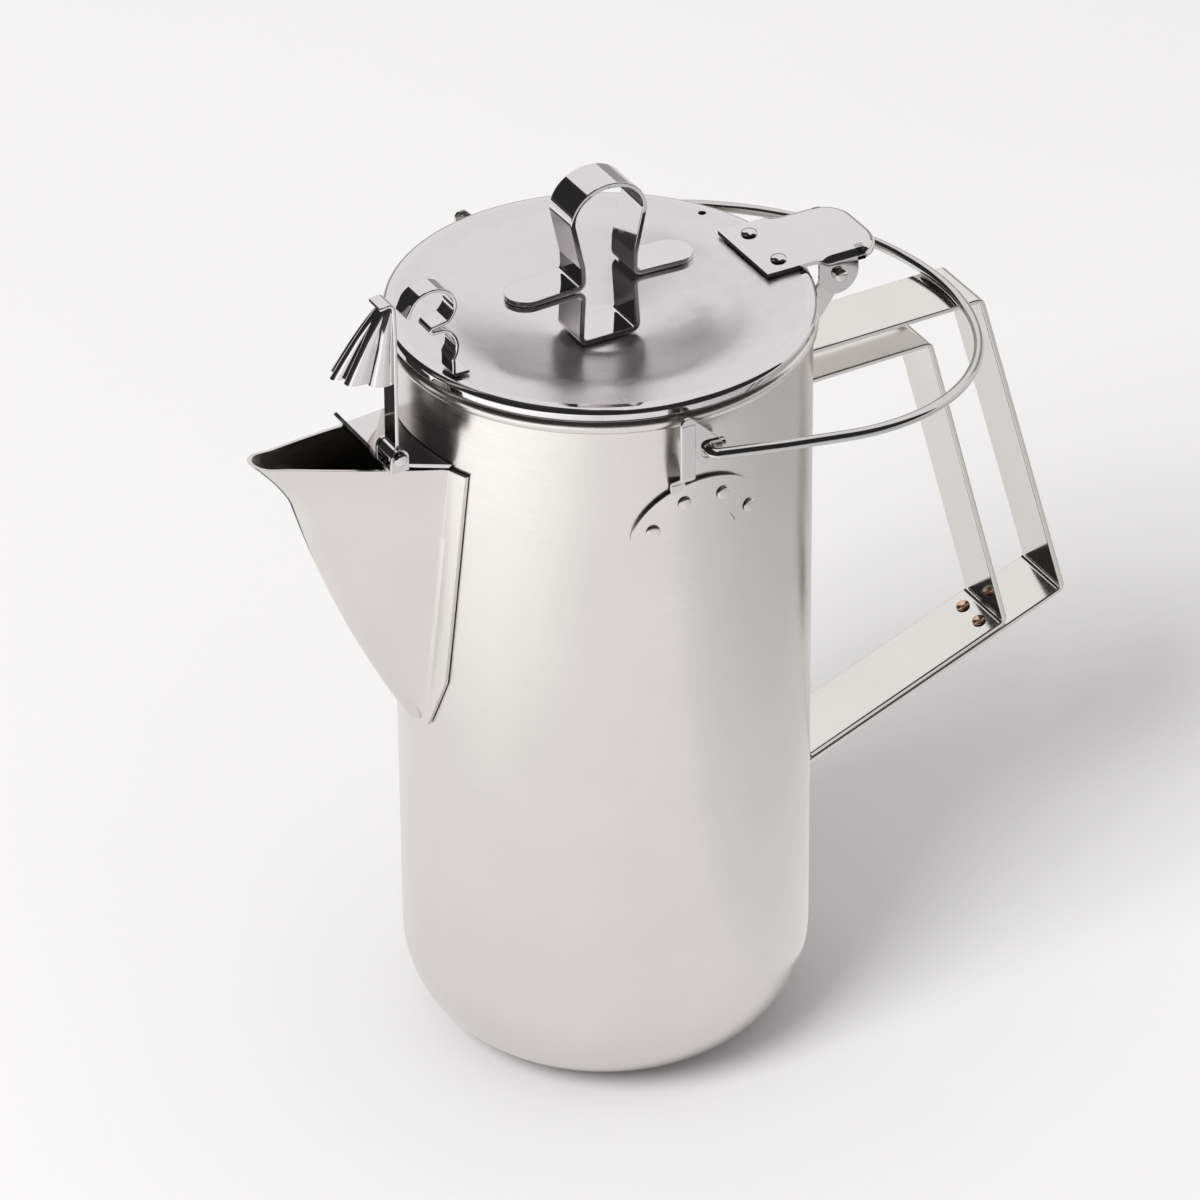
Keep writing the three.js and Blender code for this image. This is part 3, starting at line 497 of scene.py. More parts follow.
def latch_clevis():
    half = LATCH_W / 2 + GAP + 1
    left, right = LATCH_X - CLEVIS_R, LATCH_X + CLEVIS_R
    top = arc(LATCH_X, LATCH_Z, CLEVIS_R, CLEVIS_R, 0, 180, 24)
    cheek = [(left, LATCH_Z - 4), (right, LATCH_Z - 4), *top]
    for name, side in (("near", -1), ("far", 1)):
        y = LATCH_Y + side * (half - 0.5)
        obj = plate(f"latch_clevis_{name}", cheek, y - 0.5, y + 0.5)
        dress(obj, "pot", ["latch_clevis"], MIRROR_STEEL, bevel=0.15)
    base = [(left, LATCH_Z - 4.2), (right, LATCH_Z - 4.2), (right, LATCH_Z - 3.2), (left, LATCH_Z - 3.2)]
    obj = plate("latch_clevis_base", base, LATCH_Y - half + 0.95, LATCH_Y + half - 0.95)
    dress(obj, "pot", ["latch_clevis"], MIRROR_STEEL, bevel=0.15)


def latch_pin():
    low, high = LATCH_PIN_LOW.y, LATCH_PIN_HIGH.y
    obj = rod("latch_pin_steel", LATCH_PIN_R, (LATCH_X, low + 0.3, LATCH_Z), (LATCH_X, high - 0.3, LATCH_Z))
    dress(obj, "pot", ["latch_pin"], MIRROR_STEEL)
    for name, y0, y1 in (("near", low, low + 0.9), ("far", high - 0.9, high)):
        head = rod(f"latch_pin_head_{name}", 1.9, (LATCH_X, y0, LATCH_Z), (LATCH_X, y1, LATCH_Z), dome=0.35)
        dress(head, "pot", ["latch_pin"], MIRROR_STEEL)


def thumb_lever():
    stem = [(LATCH_X, LATCH_Z + 1.5), (LATCH_X + 0.3, LATCH_TOP - 9), (LATCH_X, LATCH_TOP)]
    line = [*stem, (LATCH_X - 4, LATCH_TOP - 0.6)]
    obj = strap("thumb_lever", rounded(line, 4), 1.0, LATCH_W / 2, LATCH_Y, 0.3)
    dress(obj, "latch", ["thumb_latch"], MIRROR_STEEL)
    low, high = LATCH_Y - LATCH_W / 2, LATCH_Y + LATCH_W / 2
    eye = rod("thumb_lever_eye", 2.5, (LATCH_X, low, LATCH_Z), (LATCH_X, high, LATCH_Z))
    hole = rod("eye_hole", LATCH_PIN_R + GAP, (LATCH_X, low - 1, LATCH_Z), (LATCH_X, high + 1, LATCH_Z))
    dress(drill(eye, hole), "latch", ["thumb_latch"], MIRROR_STEEL, bevel=0.2)


def thumb_pad():
    """Fluted thumb pad: half of a scalloped cone, open towards the lever."""
    around = 144

    def ring(t, inset):
        points = []
        for i in range(around + 1):
            share = i / around
            a = math.radians(88 + 184 * share)
            lobe = abs(math.sin(share * PAD["flutes"] * math.pi)) ** 0.7
            flute = 1 - PAD["depth"] * min(1, 2 * t) * (1 - lobe)
            reach = (1.6 + PAD["reach"] * t ** 0.8) * flute - inset
            side = (1.7 + PAD["side"] * t ** 0.75) * flute - inset
            z = LATCH_TOP - 0.6 - PAD["height"] * t - 2.2 * math.cos(a) * t
            points.append((LATCH_X - 0.2 + reach * math.cos(a), LATCH_Y + 5.0 * t + side * math.sin(a), z))
        return points

    levels = [(i / 28) ** 1.3 for i in range(29)]
    rings = [ring(t, 0) + list(reversed(ring(t, PAD["t"]))) for t in levels]
    obj = new_object("thumb_pad", *skin(rings, folded=True))
    dress(obj, "latch", ["thumb_latch"], MIRROR_STEEL, sharp=50, bevel=0.15)


# ---- lid ----------------------------------------------------------------------------------------
def dish_fall(radius):
    """Unscaled depth of the funnel: a straight wall that bends softly into the flat rim and floor."""
    heel = DISH_HEEL
    inner = min(max(radius - DISH_FLOOR_R, 0), heel)
    outer = min(max(DISH_R - radius, 0), DISH_R - DISH_WALL_R)
    middle = min(max(DISH_WALL_R - radius, 0), DISH_WALL_R - DISH_FLOOR_R - heel)
    bend = outer ** 2 / (2 * (DISH_R - DISH_WALL_R))
    return bend + middle + (heel - inner) - (heel - inner) ** 2 / (2 * heel)


def dish(radius):
    """Height of the lid's top face at a distance from its middle."""
    return LID_Z - DISH_DEPTH * dish_fall(radius) / dish_fall(0)


def lid():
    radii = [DISH_FLOOR_R + i * (DISH_R - DISH_FLOOR_R) / 60 for i in range(61)]
    bottom = LID_Z - LID_SKIRT
    under = LID_Z - SHEET
    hem = SHEET / 2
    ring_foot = under - LID_RING_DEPTH + SHEET
    profile = [
        (0, dish(0)),
        *[(r, dish(r)) for r in radii],
        (LID_R - LID_EDGE_R - 1.5, LID_Z),
        *arc(LID_R - LID_EDGE_R, LID_Z - LID_EDGE_R, LID_EDGE_R, LID_EDGE_R, 90, 0, 14),
        *arc(LID_R - hem, bottom + hem, hem, hem, 0, -180, 12),
        (LID_R - SHEET, under - 0.7),
        (LID_R - SHEET - 0.7, under),
        (LID_RING_R, under),
        *arc(LID_RING_R - hem, ring_foot + hem, hem, hem, 0, -180, 8),
        (LID_RING_R - SHEET, under),
        *[(r, dish(r) - SHEET) for r in reversed(radii)],
        (0, dish(0) - SHEET),
    ]
    vent = rod("vent", VENT_R, (*VENT, LID_Z - 4), (*VENT, LID_Z + 4), 40)
    obj = drill(turned("lid_steel", profile), vent)
    dress(obj, "lid", ["lid"], LID_STEEL)
    obj.data.materials.append(MIRROR_STEEL)
    for face in obj.data.polygons:
        out = math.hypot(face.center.x, face.center.y) / MM
        face.material_index = 1 if out > LID_R - LID_EDGE_R - 1 else 0


def lid_scroll():
    """Strap curled like a numeral 3, standing on the lid's edge next to the latch."""
    upper = arc(-58.2, 245.8, 6.6, 5.8, 152, -50, 48)
    notch = arc(-58, 239.9, 0.8, 0.8, 80, 280, 14)
    lower = arc(-56.4, 233.4, 5.2, 5.7, 78, -40, 36)
    foot_z = LID_Z + GAP + 0.5
    foot = rounded([(-52.3, 228.6), (-52.3, foot_z), (-47.8, foot_z)], 1, 8)
    line = [(-65.4, 245.4), *upper, *notch, *lower, *foot]
    obj = strap("lid_scroll_steel", line, 1.0, LATCH_W / 2, LATCH_Y, 0.3)
    dress(obj, "lid", ["lid_scroll"], MIRROR_STEEL)


# ---- knob ---------------------------------------------------------------------------------------
KNOB_X = (KNOB_LOW.x + KNOB_HIGH.x) / 2
KNOB_W = 12
KNOB_T = 1.45
KNOB_WING = (KNOB_HIGH.x - KNOB_LOW.x) / 2
KNOB_WAIST = 7.6
KNOB_WING_Z = 231.4
KNOB_ARCH_Z = 251.7
KNOB_ARCH_R = 11.3 - KNOB_T / 2


def wing_half(x):
    """Half width of the knob's strap: its wings end in half circles."""
    past = abs(x - KNOB_X) - (KNOB_WING - KNOB_W / 2)
    if past <= 0:
        return KNOB_W / 2
    return math.sqrt(max((KNOB_W / 2) ** 2 - past ** 2, 0.01))


def wing_line(waist_side, z):
    """Points from a wing's tip to the waist, close together where the tip rounds off."""
    tip = KNOB_X - KNOB_WING + 0.02
    stations = [tip + (KNOB_W / 2) * (1 - math.cos(math.radians(a))) for a in range(0, 91, 6)]
    return [(x, z - 0.8 * (KNOB_X - KNOB_WAIST - x) / KNOB_WING) for x in stations] + waist_side


def mirror_line(half):
    """The left half of a knob strap's line, joined to its mirror image."""
    return half + [(2 * KNOB_X - x, z) for x, z in reversed(half)]


def knob_bracket():
    base = dish(0) + GAP + KNOB_T / 2
    z = KNOB_WING_Z - KNOB_T / 2 - GAP / 2
    waist = KNOB_X - KNOB_WAIST
    inner = rounded([(waist - 8, z - 0.2), (waist, z), (waist - 0.9, base), (KNOB_X, base)], 2, 10)
    obj = strap("knob_bracket_steel", mirror_line(wing_line(inner, z)[:-1]), KNOB_T, wing_half, edge=0.28)
    dress(obj, "lid", ["knob_bracket"], MIRROR_STEEL)


def knob_loop():
    z = KNOB_WING_Z + KNOB_T / 2 + GAP / 2
    waist = KNOB_X - KNOB_WAIST
    shoulder = (KNOB_X - KNOB_ARCH_R, KNOB_ARCH_Z - 0.5)
    inner = rounded([(waist - 8, z - 0.2), (waist, z), (waist - 0.2, z + 6), shoulder], 2.2, 10)
    crown = arc(KNOB_X, KNOB_ARCH_Z, KNOB_ARCH_R, KNOB_HIGH.z - KNOB_ARCH_Z - KNOB_T / 2, 176, 91, 30)
    obj = strap("knob_loop_steel", mirror_line(wing_line(inner + crown, z)), KNOB_T, wing_half, edge=0.28)
    dress(obj, "lid", ["knob_loop"], MIRROR_STEEL)


# ---- lid hinge ----------------------------------------------------------------------------------
HINGE_X = (HINGE_PIN_LOW.x + HINGE_PIN_HIGH.x) / 2
HINGE_Z = (HINGE_PIN_LOW.z + HINGE_PIN_HIGH.z) / 2
PLATE = {"t": 1.2, "half": PLATE_HIGH.y, "end_r": 9, "lip_x": 58.2, "lip": 3.6, "fold": 2.6, "ear_r": 6}
HINGE_RIVETS = (49.4, 7.8)
HINGE_PIN_R, HINGE_PIN_HEAD_R = 1.5, 1.9
BRACKET_HALF = 11.8
BRACKET_FOOT_Z, BRACKET_TOP_Z = 205.2, 216


def plate_outline():
    """Plan of the hinge plate with the outward direction at each point: ((x, y), (nx, ny))."""
    half, end_r, right = PLATE["half"], PLATE["end_r"], PLATE_HIGH.x
    points = [((x, -half), (0, -1)) for x in [PLATE_LOW.x + 1.2 * i for i in range(26)]]
    for cy, start in ((-half + end_r, -90), (half - end_r, 0)):
        for i in range(25):
            a = math.radians(start + 90 * i / 24)
            n = (math.cos(a), math.sin(a))
            points.append(((right - end_r + end_r * n[0], cy + end_r * n[1]), n))
    points += [((x, half), (0, 1)) for x in [PLATE_LOW.x + 1.2 * (25 - i) for i in range(26)]]
    return points


def lid_hinge_plate():
    """Plate whose sides and end fold down past the lid's edge."""
    top = LID_Z + GAP + PLATE["t"]
    t, fold = PLATE["t"], PLATE["fold"]
    rings = [[] for _ in range(12)]
    for (x, y), (nx, ny) in plate_outline():
        q = smooth_step(PLATE["lip_x"] - 1, PLATE["lip_x"] + 4, x)
        stations = []
        for i in range(9):
            a = math.radians(90 * i / 8)
            stations.append((fold * (1 - math.sin(a)), top - q * fold * (1 - math.cos(a))))
        bottom = top - mix(t, PLATE["lip"], q)
        stations += [(0.0, bottom), (t * 0.85, bottom), (t * 0.85, top - t)]
        for ring, (inset, z) in zip(rings, stations):
            ring.append((x - nx * inset, y - ny * inset, z))
    obj = new_object("lid_hinge_plate_steel", *skin(rings))
    dress(obj, "lid", ["lid_hinge_plate"], MIRROR_STEEL, bevel=0.15)
    ear_r = PLATE["ear_r"]
    under_pin = arc(HINGE_X, HINGE_Z, ear_r, ear_r, 180, 360, 40)
    outline = [(HINGE_X - ear_r, top - 1.6), *under_pin, (HINGE_X + ear_r, top - 1.6)]
    for name, side in (("near", -1), ("far", 1)):
        y = side * (PLATE["half"] - 0.75)
        ear = plate(f"hinge_ear_{name}", outline, y - 0.45, y + 0.45)
        dress(ear, "lid", ["lid_hinge_plate"], MIRROR_STEEL, bevel=0.18)


def pot_hinge_bracket():
    back_x, foot, top = POT_R + 0.4, BRACKET_FOOT_Z, BRACKET_TOP_Z
    cheek = [(back_x, foot), (back_x + 2.5, foot), *arc(HINGE_X, HINGE_Z, 3.8, 3.8, -50, 160, 30),
             (back_x + 2.4, top), (back_x, top)]
    for name, side in (("near", -1), ("far", 1)):
        y = side * (BRACKET_HALF - 0.5)
        obj = plate(f"hinge_bracket_{name}", cheek, y - 0.5, y + 0.5)
        dress(obj, "pot", ["pot_hinge_bracket"], STRAP_STEEL, bevel=0.18)
    back = [(back_x, foot), (back_x + 1, foot), (back_x + 1, top), (back_x, top)]
    obj = plate("hinge_bracket_back", back, -BRACKET_HALF + 0.95, BRACKET_HALF - 0.95)
    dress(obj, "pot", ["pot_hinge_bracket"], STRAP_STEEL, bevel=0.18)


def lid_hinge_pin():
    low, high = HINGE_PIN_LOW.y, HINGE_PIN_HIGH.y
    shaft = (HINGE_X, low + 0.4, HINGE_Z), (HINGE_X, high - 0.4, HINGE_Z)
    obj = rod("lid_hinge_pin_steel", HINGE_PIN_R, *shaft)
    dress(obj, "pot", ["lid_hinge_pin"], STRAP_STEEL)
    for name, y0, y1 in (("near", low, low + 1.1), ("far", high - 1.1, high)):
        ends = (HINGE_X, y0, HINGE_Z), (HINGE_X, y1, HINGE_Z)
        head = rod(f"lid_hinge_pin_head_{name}", HINGE_PIN_HEAD_R, *ends, dome=0.5)
        dress(head, "pot", ["lid_hinge_pin"], STRAP_STEEL)


# ---- rivets -------------------------------------------------------------------------------------
def rivet(name, head_r, head_h, shank_r, grip, tail_r, tail_h):
    """Domed rivet along Z. Its head rests at height grip and its tail at height 0."""
    profile = [*arc(0, grip, head_r, head_h, 90, 0, 14), (shank_r, grip), (shank_r, 0), (tail_r, 0),
               (tail_r * 0.7, -tail_h), (0, -tail_h)]
    return turned(name, profile, 56)


def place(obj, matrix):
    obj.data.transform(matrix)
    return obj


def shift(x, y, z):
    return Matrix.Translation(Vector((x, y, z)) * MM)


def hinge_rivets():
    x, y = HINGE_RIVETS
    grip = SHEET + GAP * 3 + PLATE["t"]
    for name, side in (("near", -1), ("far", 1)):
        obj = rivet(f"hinge_rivet_{name}_steel", 2.2, 1.0, 1.2, grip, 2.0, 0.7)
        place(obj, shift(x, side * y, LID_Z - SHEET - GAP))
        dress(obj, "lid", [f"hinge_rivet_{name}"], MIRROR_STEEL)


def ear_rivets():
    grip = POT_WALL + EAR["t"] + GAP * 3
    for name, side in (("near", -1), ("far", 1)):
        for number, degrees in enumerate(EAR["rivets"], 1):
            a = math.radians(degrees)
            angle = (EAR["x"] + EAR["arc_r"] * math.cos(a)) / POT_R
            z = EAR["z"] + EAR["arc_r"] * math.sin(a)
            obj = rivet(f"ear_rivet_{name}_{number}_steel", 1.85, 0.4, 0.9, grip, 1.7, 0.6)
            place(obj, Matrix.Rotation(-side * math.pi / 2, 4, "X"))
            place(obj, shift(0, side * (POT_R - POT_WALL - GAP), z))
            place(obj, Matrix.Rotation(-side * angle, 4, "Z"))
            dress(obj, "pot", [f"ear_rivet_{name}_{number}"], BODY_STEEL)


# ---- handle -------------------------------------------------------------------------------------
FLANGE_X = POT_R + 0.4 + STRAP_T / 2
ARM_SLOPE = (HANDLE_ELBOW[1] - HANDLE_FOOT_Z) / (HANDLE_ELBOW[0] - FLANGE_X)
ARM_ANGLE = math.atan(ARM_SLOPE)
LAP = (STRAP_T + GAP) / math.cos(ARM_ANGLE)
HANDLE_RIVET = (117.4, 4.3)


def arm_z(x):
    return HANDLE_FOOT_Z + ARM_SLOPE * (x - FLANGE_X)


def handle_straps():
    outer = [(FLANGE_X, HANDLE_TOP_Z + 8.8), (FLANGE_X, HANDLE_TOP_Z), HANDLE_CORNER, HANDLE_ELBOW,
             (FLANGE_X, HANDLE_FOOT_Z), (FLANGE_X, HANDLE_FOOT_Z - 12)]
    inner = [(FLANGE_X, INNER_TOP_Z - 12), (FLANGE_X, INNER_TOP_Z), INNER_CORNER,
             (INNER_ELBOW_X, arm_z(INNER_ELBOW_X) + LAP), (INNER_FOOT_X, arm_z(INNER_FOOT_X) + LAP)]
    for name, line in (("handle_outer", outer), ("handle_inner", inner)):
        obj = strap(f"{name}_steel", rounded(line, 2.2), STRAP_T, 10, edge=0.4)
        dress(obj, "pot", [name], STRAP_STEEL)


def handle_rivets():
    x, y = HANDLE_RIVET
    drop = STRAP_T / 2 + GAP
    for name, side in (("near", -1), ("far", 1)):
        obj = rivet(f"handle_rivet_{name}_steel", 1.95, 0.8, 1.4, STRAP_T * 2 + GAP * 3, 2.4, 0.8)
        place(obj, Matrix.Rotation(-ARM_ANGLE, 4, "Y"))
        foot = (x + drop * math.sin(ARM_ANGLE), side * y, arm_z(x) - drop * math.cos(ARM_ANGLE))
        place(obj, shift(*foot))
        dress(obj, "pot", [f"handle_rivet_{name}"], TINTED_STEEL)


# ---- bail and its ears --------------------------------------------------------------------------
def ear_band(name, side):
    """Arc-shaped base with round ends that follows the wall, riveted to it."""
    first, last = 24, 156
    overrun = math.degrees(EAR["half"] / EAR["arc_r"])
    rings = []
    for i in range(73):
        a = first - overrun + (last - first + 2 * overrun) * i / 72
        past = math.radians(max(first - a, a - last, 0)) * EAR["arc_r"]
        half = max(math.sqrt(max(EAR["half"] ** 2 - past ** 2, 0)), 0.3)
        faces = []
        for radius in (POT_R + GAP, POT_R + GAP + EAR["t"]):
            row = []
            for k in range(9):
                r = EAR["arc_r"] + mix(half, -half, k / 8)
                angle = (EAR["x"] + r * math.cos(math.radians(a))) / POT_R
                z = EAR["z"] + r * math.sin(math.radians(a))
                row.append((radius * math.sin(angle), side * radius * math.cos(angle), z))
            faces.append(row)
        rings.append(faces[0] + list(reversed(faces[1])))
    obj = new_object(f"bail_ear_{name}_band", *skin(rings, folded=True))
    dress(obj, "pot", [f"bail_ear_{name}"], BODY_STEEL, bevel=0.3)


def ear_post(name, side):
    """Upright strap that steps out past the rim."""
    radius, out = POT_R + GAP, EAR_LUG_Y + 0.5
    foot = [(radius - 0.15, 196.8), (radius + 0.3, 200)]
    rise = rounded([*foot, (out, 204), (out, EAR_POST["top"] - 2)], 1.5, 8)
    obj = strap(f"bail_ear_{name}_post", rise, 1.0, EAR_POST["w"] / 2, 0, 0.25)
    place(obj, shift(EAR_POST["x"], 0, 0) @ Matrix.Rotation(side * math.pi / 2, 4, "Z"))
    dress(obj, "pot", [f"bail_ear_{name}"], MIRROR_STEEL)


def ear_eye(name, side):
    """Arm from the upright's crown to the eye that the bail hooks through."""
    low, high = sorted((side * (EAR_LUG_Y + 0.07), side * (EAR_LUG_Y + 0.93)))
    crown = Vector((EAR_POST["x"], EAR_POST["top"] - EAR_POST["w"] / 2))
    eye = Vector(BAIL_PIVOT)
    crown_r, eye_r = EAR_POST["w"] / 2, 4.3
    lean = math.degrees(math.atan2(eye.y - crown.y, eye.x - crown.x))
    tangent = math.degrees(math.acos((crown_r - eye_r) / (eye - crown).length))
    outline = arc(*crown, crown_r, crown_r, lean + tangent, lean + 360 - tangent, 24)
    outline += arc(*eye, eye_r, eye_r, lean - tangent, lean + tangent, 36)
    obj = plate(f"bail_ear_{name}_eye", outline, low, high)
    hole = rod("bail_hole", BAIL_R + 0.6, (eye.x, low - 1, eye.y), (eye.x, high + 1, eye.y), 40)
    dress(drill(obj, hole), "pot", [f"bail_ear_{name}"], MIRROR_STEEL, bevel=0.2)


def bail():
    """Wire loop whose ends hook through the ears."""
    x, z = BAIL_PIVOT
    slope = (BAIL_END[1] - z) / (BAIL_END[0] - x)
    ends = [(x + BAIL_STUB, BAIL_STUB_Y), (x, BAIL_STUB_Y), (x, BAIL_LEG_Y), (x + 20, BAIL_LEG_Y + 1.8)]
    half = rounded(ends, 1.9, 14) + arc(BAIL_ARC_X, 0, BAIL_ARC_R, BAIL_ARC_R, 92, 0, 90)
    line = half + [(px, -py) for px, py in reversed(half[:-1])]
    normal = Vector((-slope, 0, 1)).normalized()
    centres = [Vector((px, py, z + slope * (px - x))) for px, py in line]
    last = len(centres) - 1
    rings = []
    for i, centre in enumerate(centres):
        along = (centres[min(i + 1, last)] - centres[max(i - 1, 0)]).normalized()
        across = along.cross(normal)
        for push, share in wire_end(i, last):
            middle = centre + along * push
            ring = arc(0, 0, BAIL_R * share, BAIL_R * share, 0, 345, 23)
            rings.append([middle + across * u + normal * v for u, v in ring])
    obj = new_object("bail_wire", *skin(rings))
    dress(obj, "bail", ["bail"], WIRE_STEEL)


def wire_end(i, last):
    """(push along, share of the radius) of the rings at a wire's station: its ends are rounded."""
    turns = [(math.sin(math.radians(a)), math.cos(math.radians(a))) for a in (0, 35, 60, 80)]
    if i == 0:
        return [(BAIL_R * 0.5 * (1 - s), c) for s, c in reversed(turns)]
    if i == last:
        return [(BAIL_R * 0.5 * (s - 1), c) for s, c in turns]
    return [(0.0, 1.0)]


# ---- percolator insert --------------------------------------------------------------------------
TUBE_R = 5
BORE_R = TUBE_R + GAP + 0.2
TUBE_LOW, TUBE_HIGH = span("pump_tube")
BASE_LOW, BASE_HIGH = span("pump_base")
BASKET_LOW, BASKET_HIGH = span("coffee_basket")
BASKET_R = BASKET_HIGH.x - 1.2


def ring_of_holes(name, radius, count, z):
    holes = []
    for i in range(count):
        a = 2 * math.pi * i / count
        x, y = radius * math.cos(a), radius * math.sin(a)
        holes.append(rod(f"{name}_{i}", 1.3, (x, y, z - 4), (x, y, z + 4), 16))
    return holes


def pump_tube():
    collar = BASKET_LOW.z - GAP
    r, foot, top = TUBE_R, TUBE_LOW.z, TUBE_HIGH.z
    ledge = [(r, collar - 3), (r + 2.5, collar - 1.5), (r + 2.5, collar), (r, collar)]
    mouth = [(r, top - 0.3), (r - 0.3, top), (r - 0.7, top), (r - 1, top - 0.3)]
    profile = [(r - 1, foot), (r, foot), *ledge, *mouth]
    dress(turned("pump_tube_steel", profile, 64), "insert", ["pump_tube"], STRAP_STEEL)


def pump_base():
    r, z0, z1 = 27, BASE_LOW.z, BASE_HIGH.z
    neck = TUBE_R + 1.6
    outer = rounded([(r + 1.2, z0 + 0.9), (r * 0.72, z0 + 6.5), (neck, z1 - 5), (neck, z1)], 3, 8)
    inner = rounded([(TUBE_R - 1, z1), (TUBE_R - 1, z1 - 5), (r * 0.68, z0 + 5.2), (r, z0)], 3, 8)
    obj = turned("pump_base_steel", [(r, z0), (r + 1.2, z0), *outer, *inner[:-1]], 96)
    dress(obj, "insert", ["pump_base"], STRAP_STEEL)


def coffee_basket():
    r, z0, z1, t = BASKET_R, BASKET_LOW.z, BASKET_HIGH.z - 0.2, 0.8
    rim = arc(r + 0.1, z1 - 0.4, 0.9, 0.6, -60, 180, 12)
    profile = [(BORE_R, z0), (r - 2, z0), *arc(r - 2, z0 + 2, 2, 2, -90, 0, 8), (r, z1 - 1.2), *rim,
               (r - t, z1 - 1), (r - t, z0 + t + 1.2), (r - t - 1.2, z0 + t), (BORE_R + t, z0 + t),
               (BORE_R + t, z0 + 30), (BORE_R, z0 + 30)]
    holes = ring_of_holes("inner", 15, 6, z0) + ring_of_holes("outer", 26, 10, z0)
    obj = drill(turned("coffee_basket_steel", profile, 128), *holes)
    dress(obj, "insert", ["coffee_basket"], STRAP_STEEL)


def basket_lid():
    low, high = span("basket_lid")
    r, z, top = BASKET_R, low.z, high.z
    rim = [(r - 2, top - 0.8), (r + 0.5, top - 0.8), (r + 0.8, top - 0.4), (r + 0.5, top), (r - 2.8, top)]
    profile = [(BORE_R, z), (r - 3, z), *rim, (r - 3.8, z + 0.8), (BORE_R, z + 0.8)]
    holes = ring_of_holes("inner", 14, 6, z) + ring_of_holes("outer", 25, 10, z)
    obj = drill(turned("basket_lid_steel", profile, 128), *holes)
    dress(obj, "insert", ["basket_lid"], STRAP_STEEL)


# ---- studio -------------------------------------------------------------------------------------
def paper(name, colour):
    """Matt paper with a faint mottle."""
    material = bpy.data.materials.new(name)
    material.use_nodes = True
    tree = material.node_tree
    shader = tree.nodes["Principled BSDF"]
    shader.inputs["Roughness"].default_value = 0.9
    shader.inputs["Specular IOR Level"].default_value = 0.1
    mottle = tree.nodes.new("ShaderNodeTexNoise")
    mottle.inputs["Scale"].default_value = 6.0
    tree.links.new(tree.nodes.new("ShaderNodeTexCoord").outputs["Object"], mottle.inputs["Vector"])
    tone = tree.nodes.new("ShaderNodeValToRGB")
    tone.color_ramp.elements[0].color = (*[c * 0.985 for c in colour], 1)
    tone.color_ramp.elements[1].color = (*colour, 1)
    tree.links.new(mottle.outputs["Fac"], tone.inputs["Fac"])
    tree.links.new(tone.outputs["Color"], shader.inputs["Base Color"])
    return material


def floor():
    size = 8000
    corners = [(-size, -size, 0), (size, -size, 0), (size, size, 0), (-size, size, 0)]
    obj = new_object("floor", corners, [(0, 1, 2, 3)])
    obj.data.materials.append(paper("floor_paper", (0.55, 0.545, 0.55)))


def only_reflected(obj):
    """Studio panel that shows only in reflections, not to the camera, in diffuse light or as a shadow."""
    obj.visible_camera = False
    obj.visible_diffuse = False
    obj.visible_shadow = False


def painted_room_reflection(name, angle_from, angle_to, low, high, tone):
    """Painted dark reflection of the room: a dimly glowing patch of a large sphere, between two azimuths and
    two elevations in degrees, seen only in reflections.
    """
    radius, columns, rows = 3200, 24, 10
    verts = []
    for i in range(columns + 1):
        a = math.radians(mix(angle_from, angle_to, i / columns))
        for k in range(rows + 1):
            e = math.radians(mix(low, high, k / rows))
            out = radius * math.cos(e)
            verts.append((out * math.cos(a), out * math.sin(a), radius * math.sin(e)))
    faces = []
    for i in range(columns):
        for k in range(rows):
            j = i * (rows + 1) + k
            faces.append((j, j + 1, j + rows + 2, j + rows + 1))
    obj = new_object(name, verts, faces)
    # dim glow seen only in reflections: painted dark reflection
    obj.data.materials.append(glow(f"{name}_painted_dark_reflection", tone, tone))
    only_reflected(obj)


def painted_reflection_card(name, start, end, height, tone):
    """Upright panel between two floor-plan points, raised to their height, seen only in reflections: a
    painted dark reflection.
    """
    rows = [(x, y, z + lift) for lift in (0, height) for x, y, z in (start, end)]
    obj = new_object(name, rows, [(0, 1, 3, 2)])
    # dim glow seen only in reflections: painted dark reflection
    obj.data.materials.append(glow(f"{name}_painted_dark_reflection", tone, tone))
    only_reflected(obj)


def painted_floor_reflection(name, low, high, near, far):
    """Level panel just above the floor, between two corners (x, y), as bright as near and far say. It shows
    only in reflections: a painted reflection of the floor, lighter or darker than the floor itself.
    """
    x0, y0, x1, y1 = *low, *high
    obj = new_object(name, [(x0, y0, 2), (x1, y0, 2), (x1, y1, 2), (x0, y1, 2)], [(0, 1, 2, 3)])
    # glow seen only in reflections: painted light or painted shade on the floor's reflection
    obj.data.materials.append(glow(f"{name}_light", near, far))
    only_reflected(obj)


def glow(name, near, far):
    """Light of its own, from far at the panel's lowest X to near at its highest."""
    material = bpy.data.materials.new(name)
    material.use_nodes = True
    tree = material.node_tree
    tree.nodes.remove(tree.nodes["Principled BSDF"])
    lamp = tree.nodes.new("ShaderNodeEmission")
    tree.links.new(lamp.outputs["Emission"], tree.nodes["Material Output"].inputs["Surface"])
    across = tree.nodes.new("ShaderNodeSeparateXYZ")
    tree.links.new(tree.nodes.new("ShaderNodeTexCoord").outputs["Generated"], across.inputs["Vector"])
    ramp = tree.nodes.new("ShaderNodeMapRange")
    ramp.inputs["To Min"].default_value = far
    ramp.inputs["To Max"].default_value = near
    tree.links.new(across.outputs["X"], ramp.inputs["Value"])
    tree.links.new(ramp.outputs["Result"], lamp.inputs["Strength"])
    return material


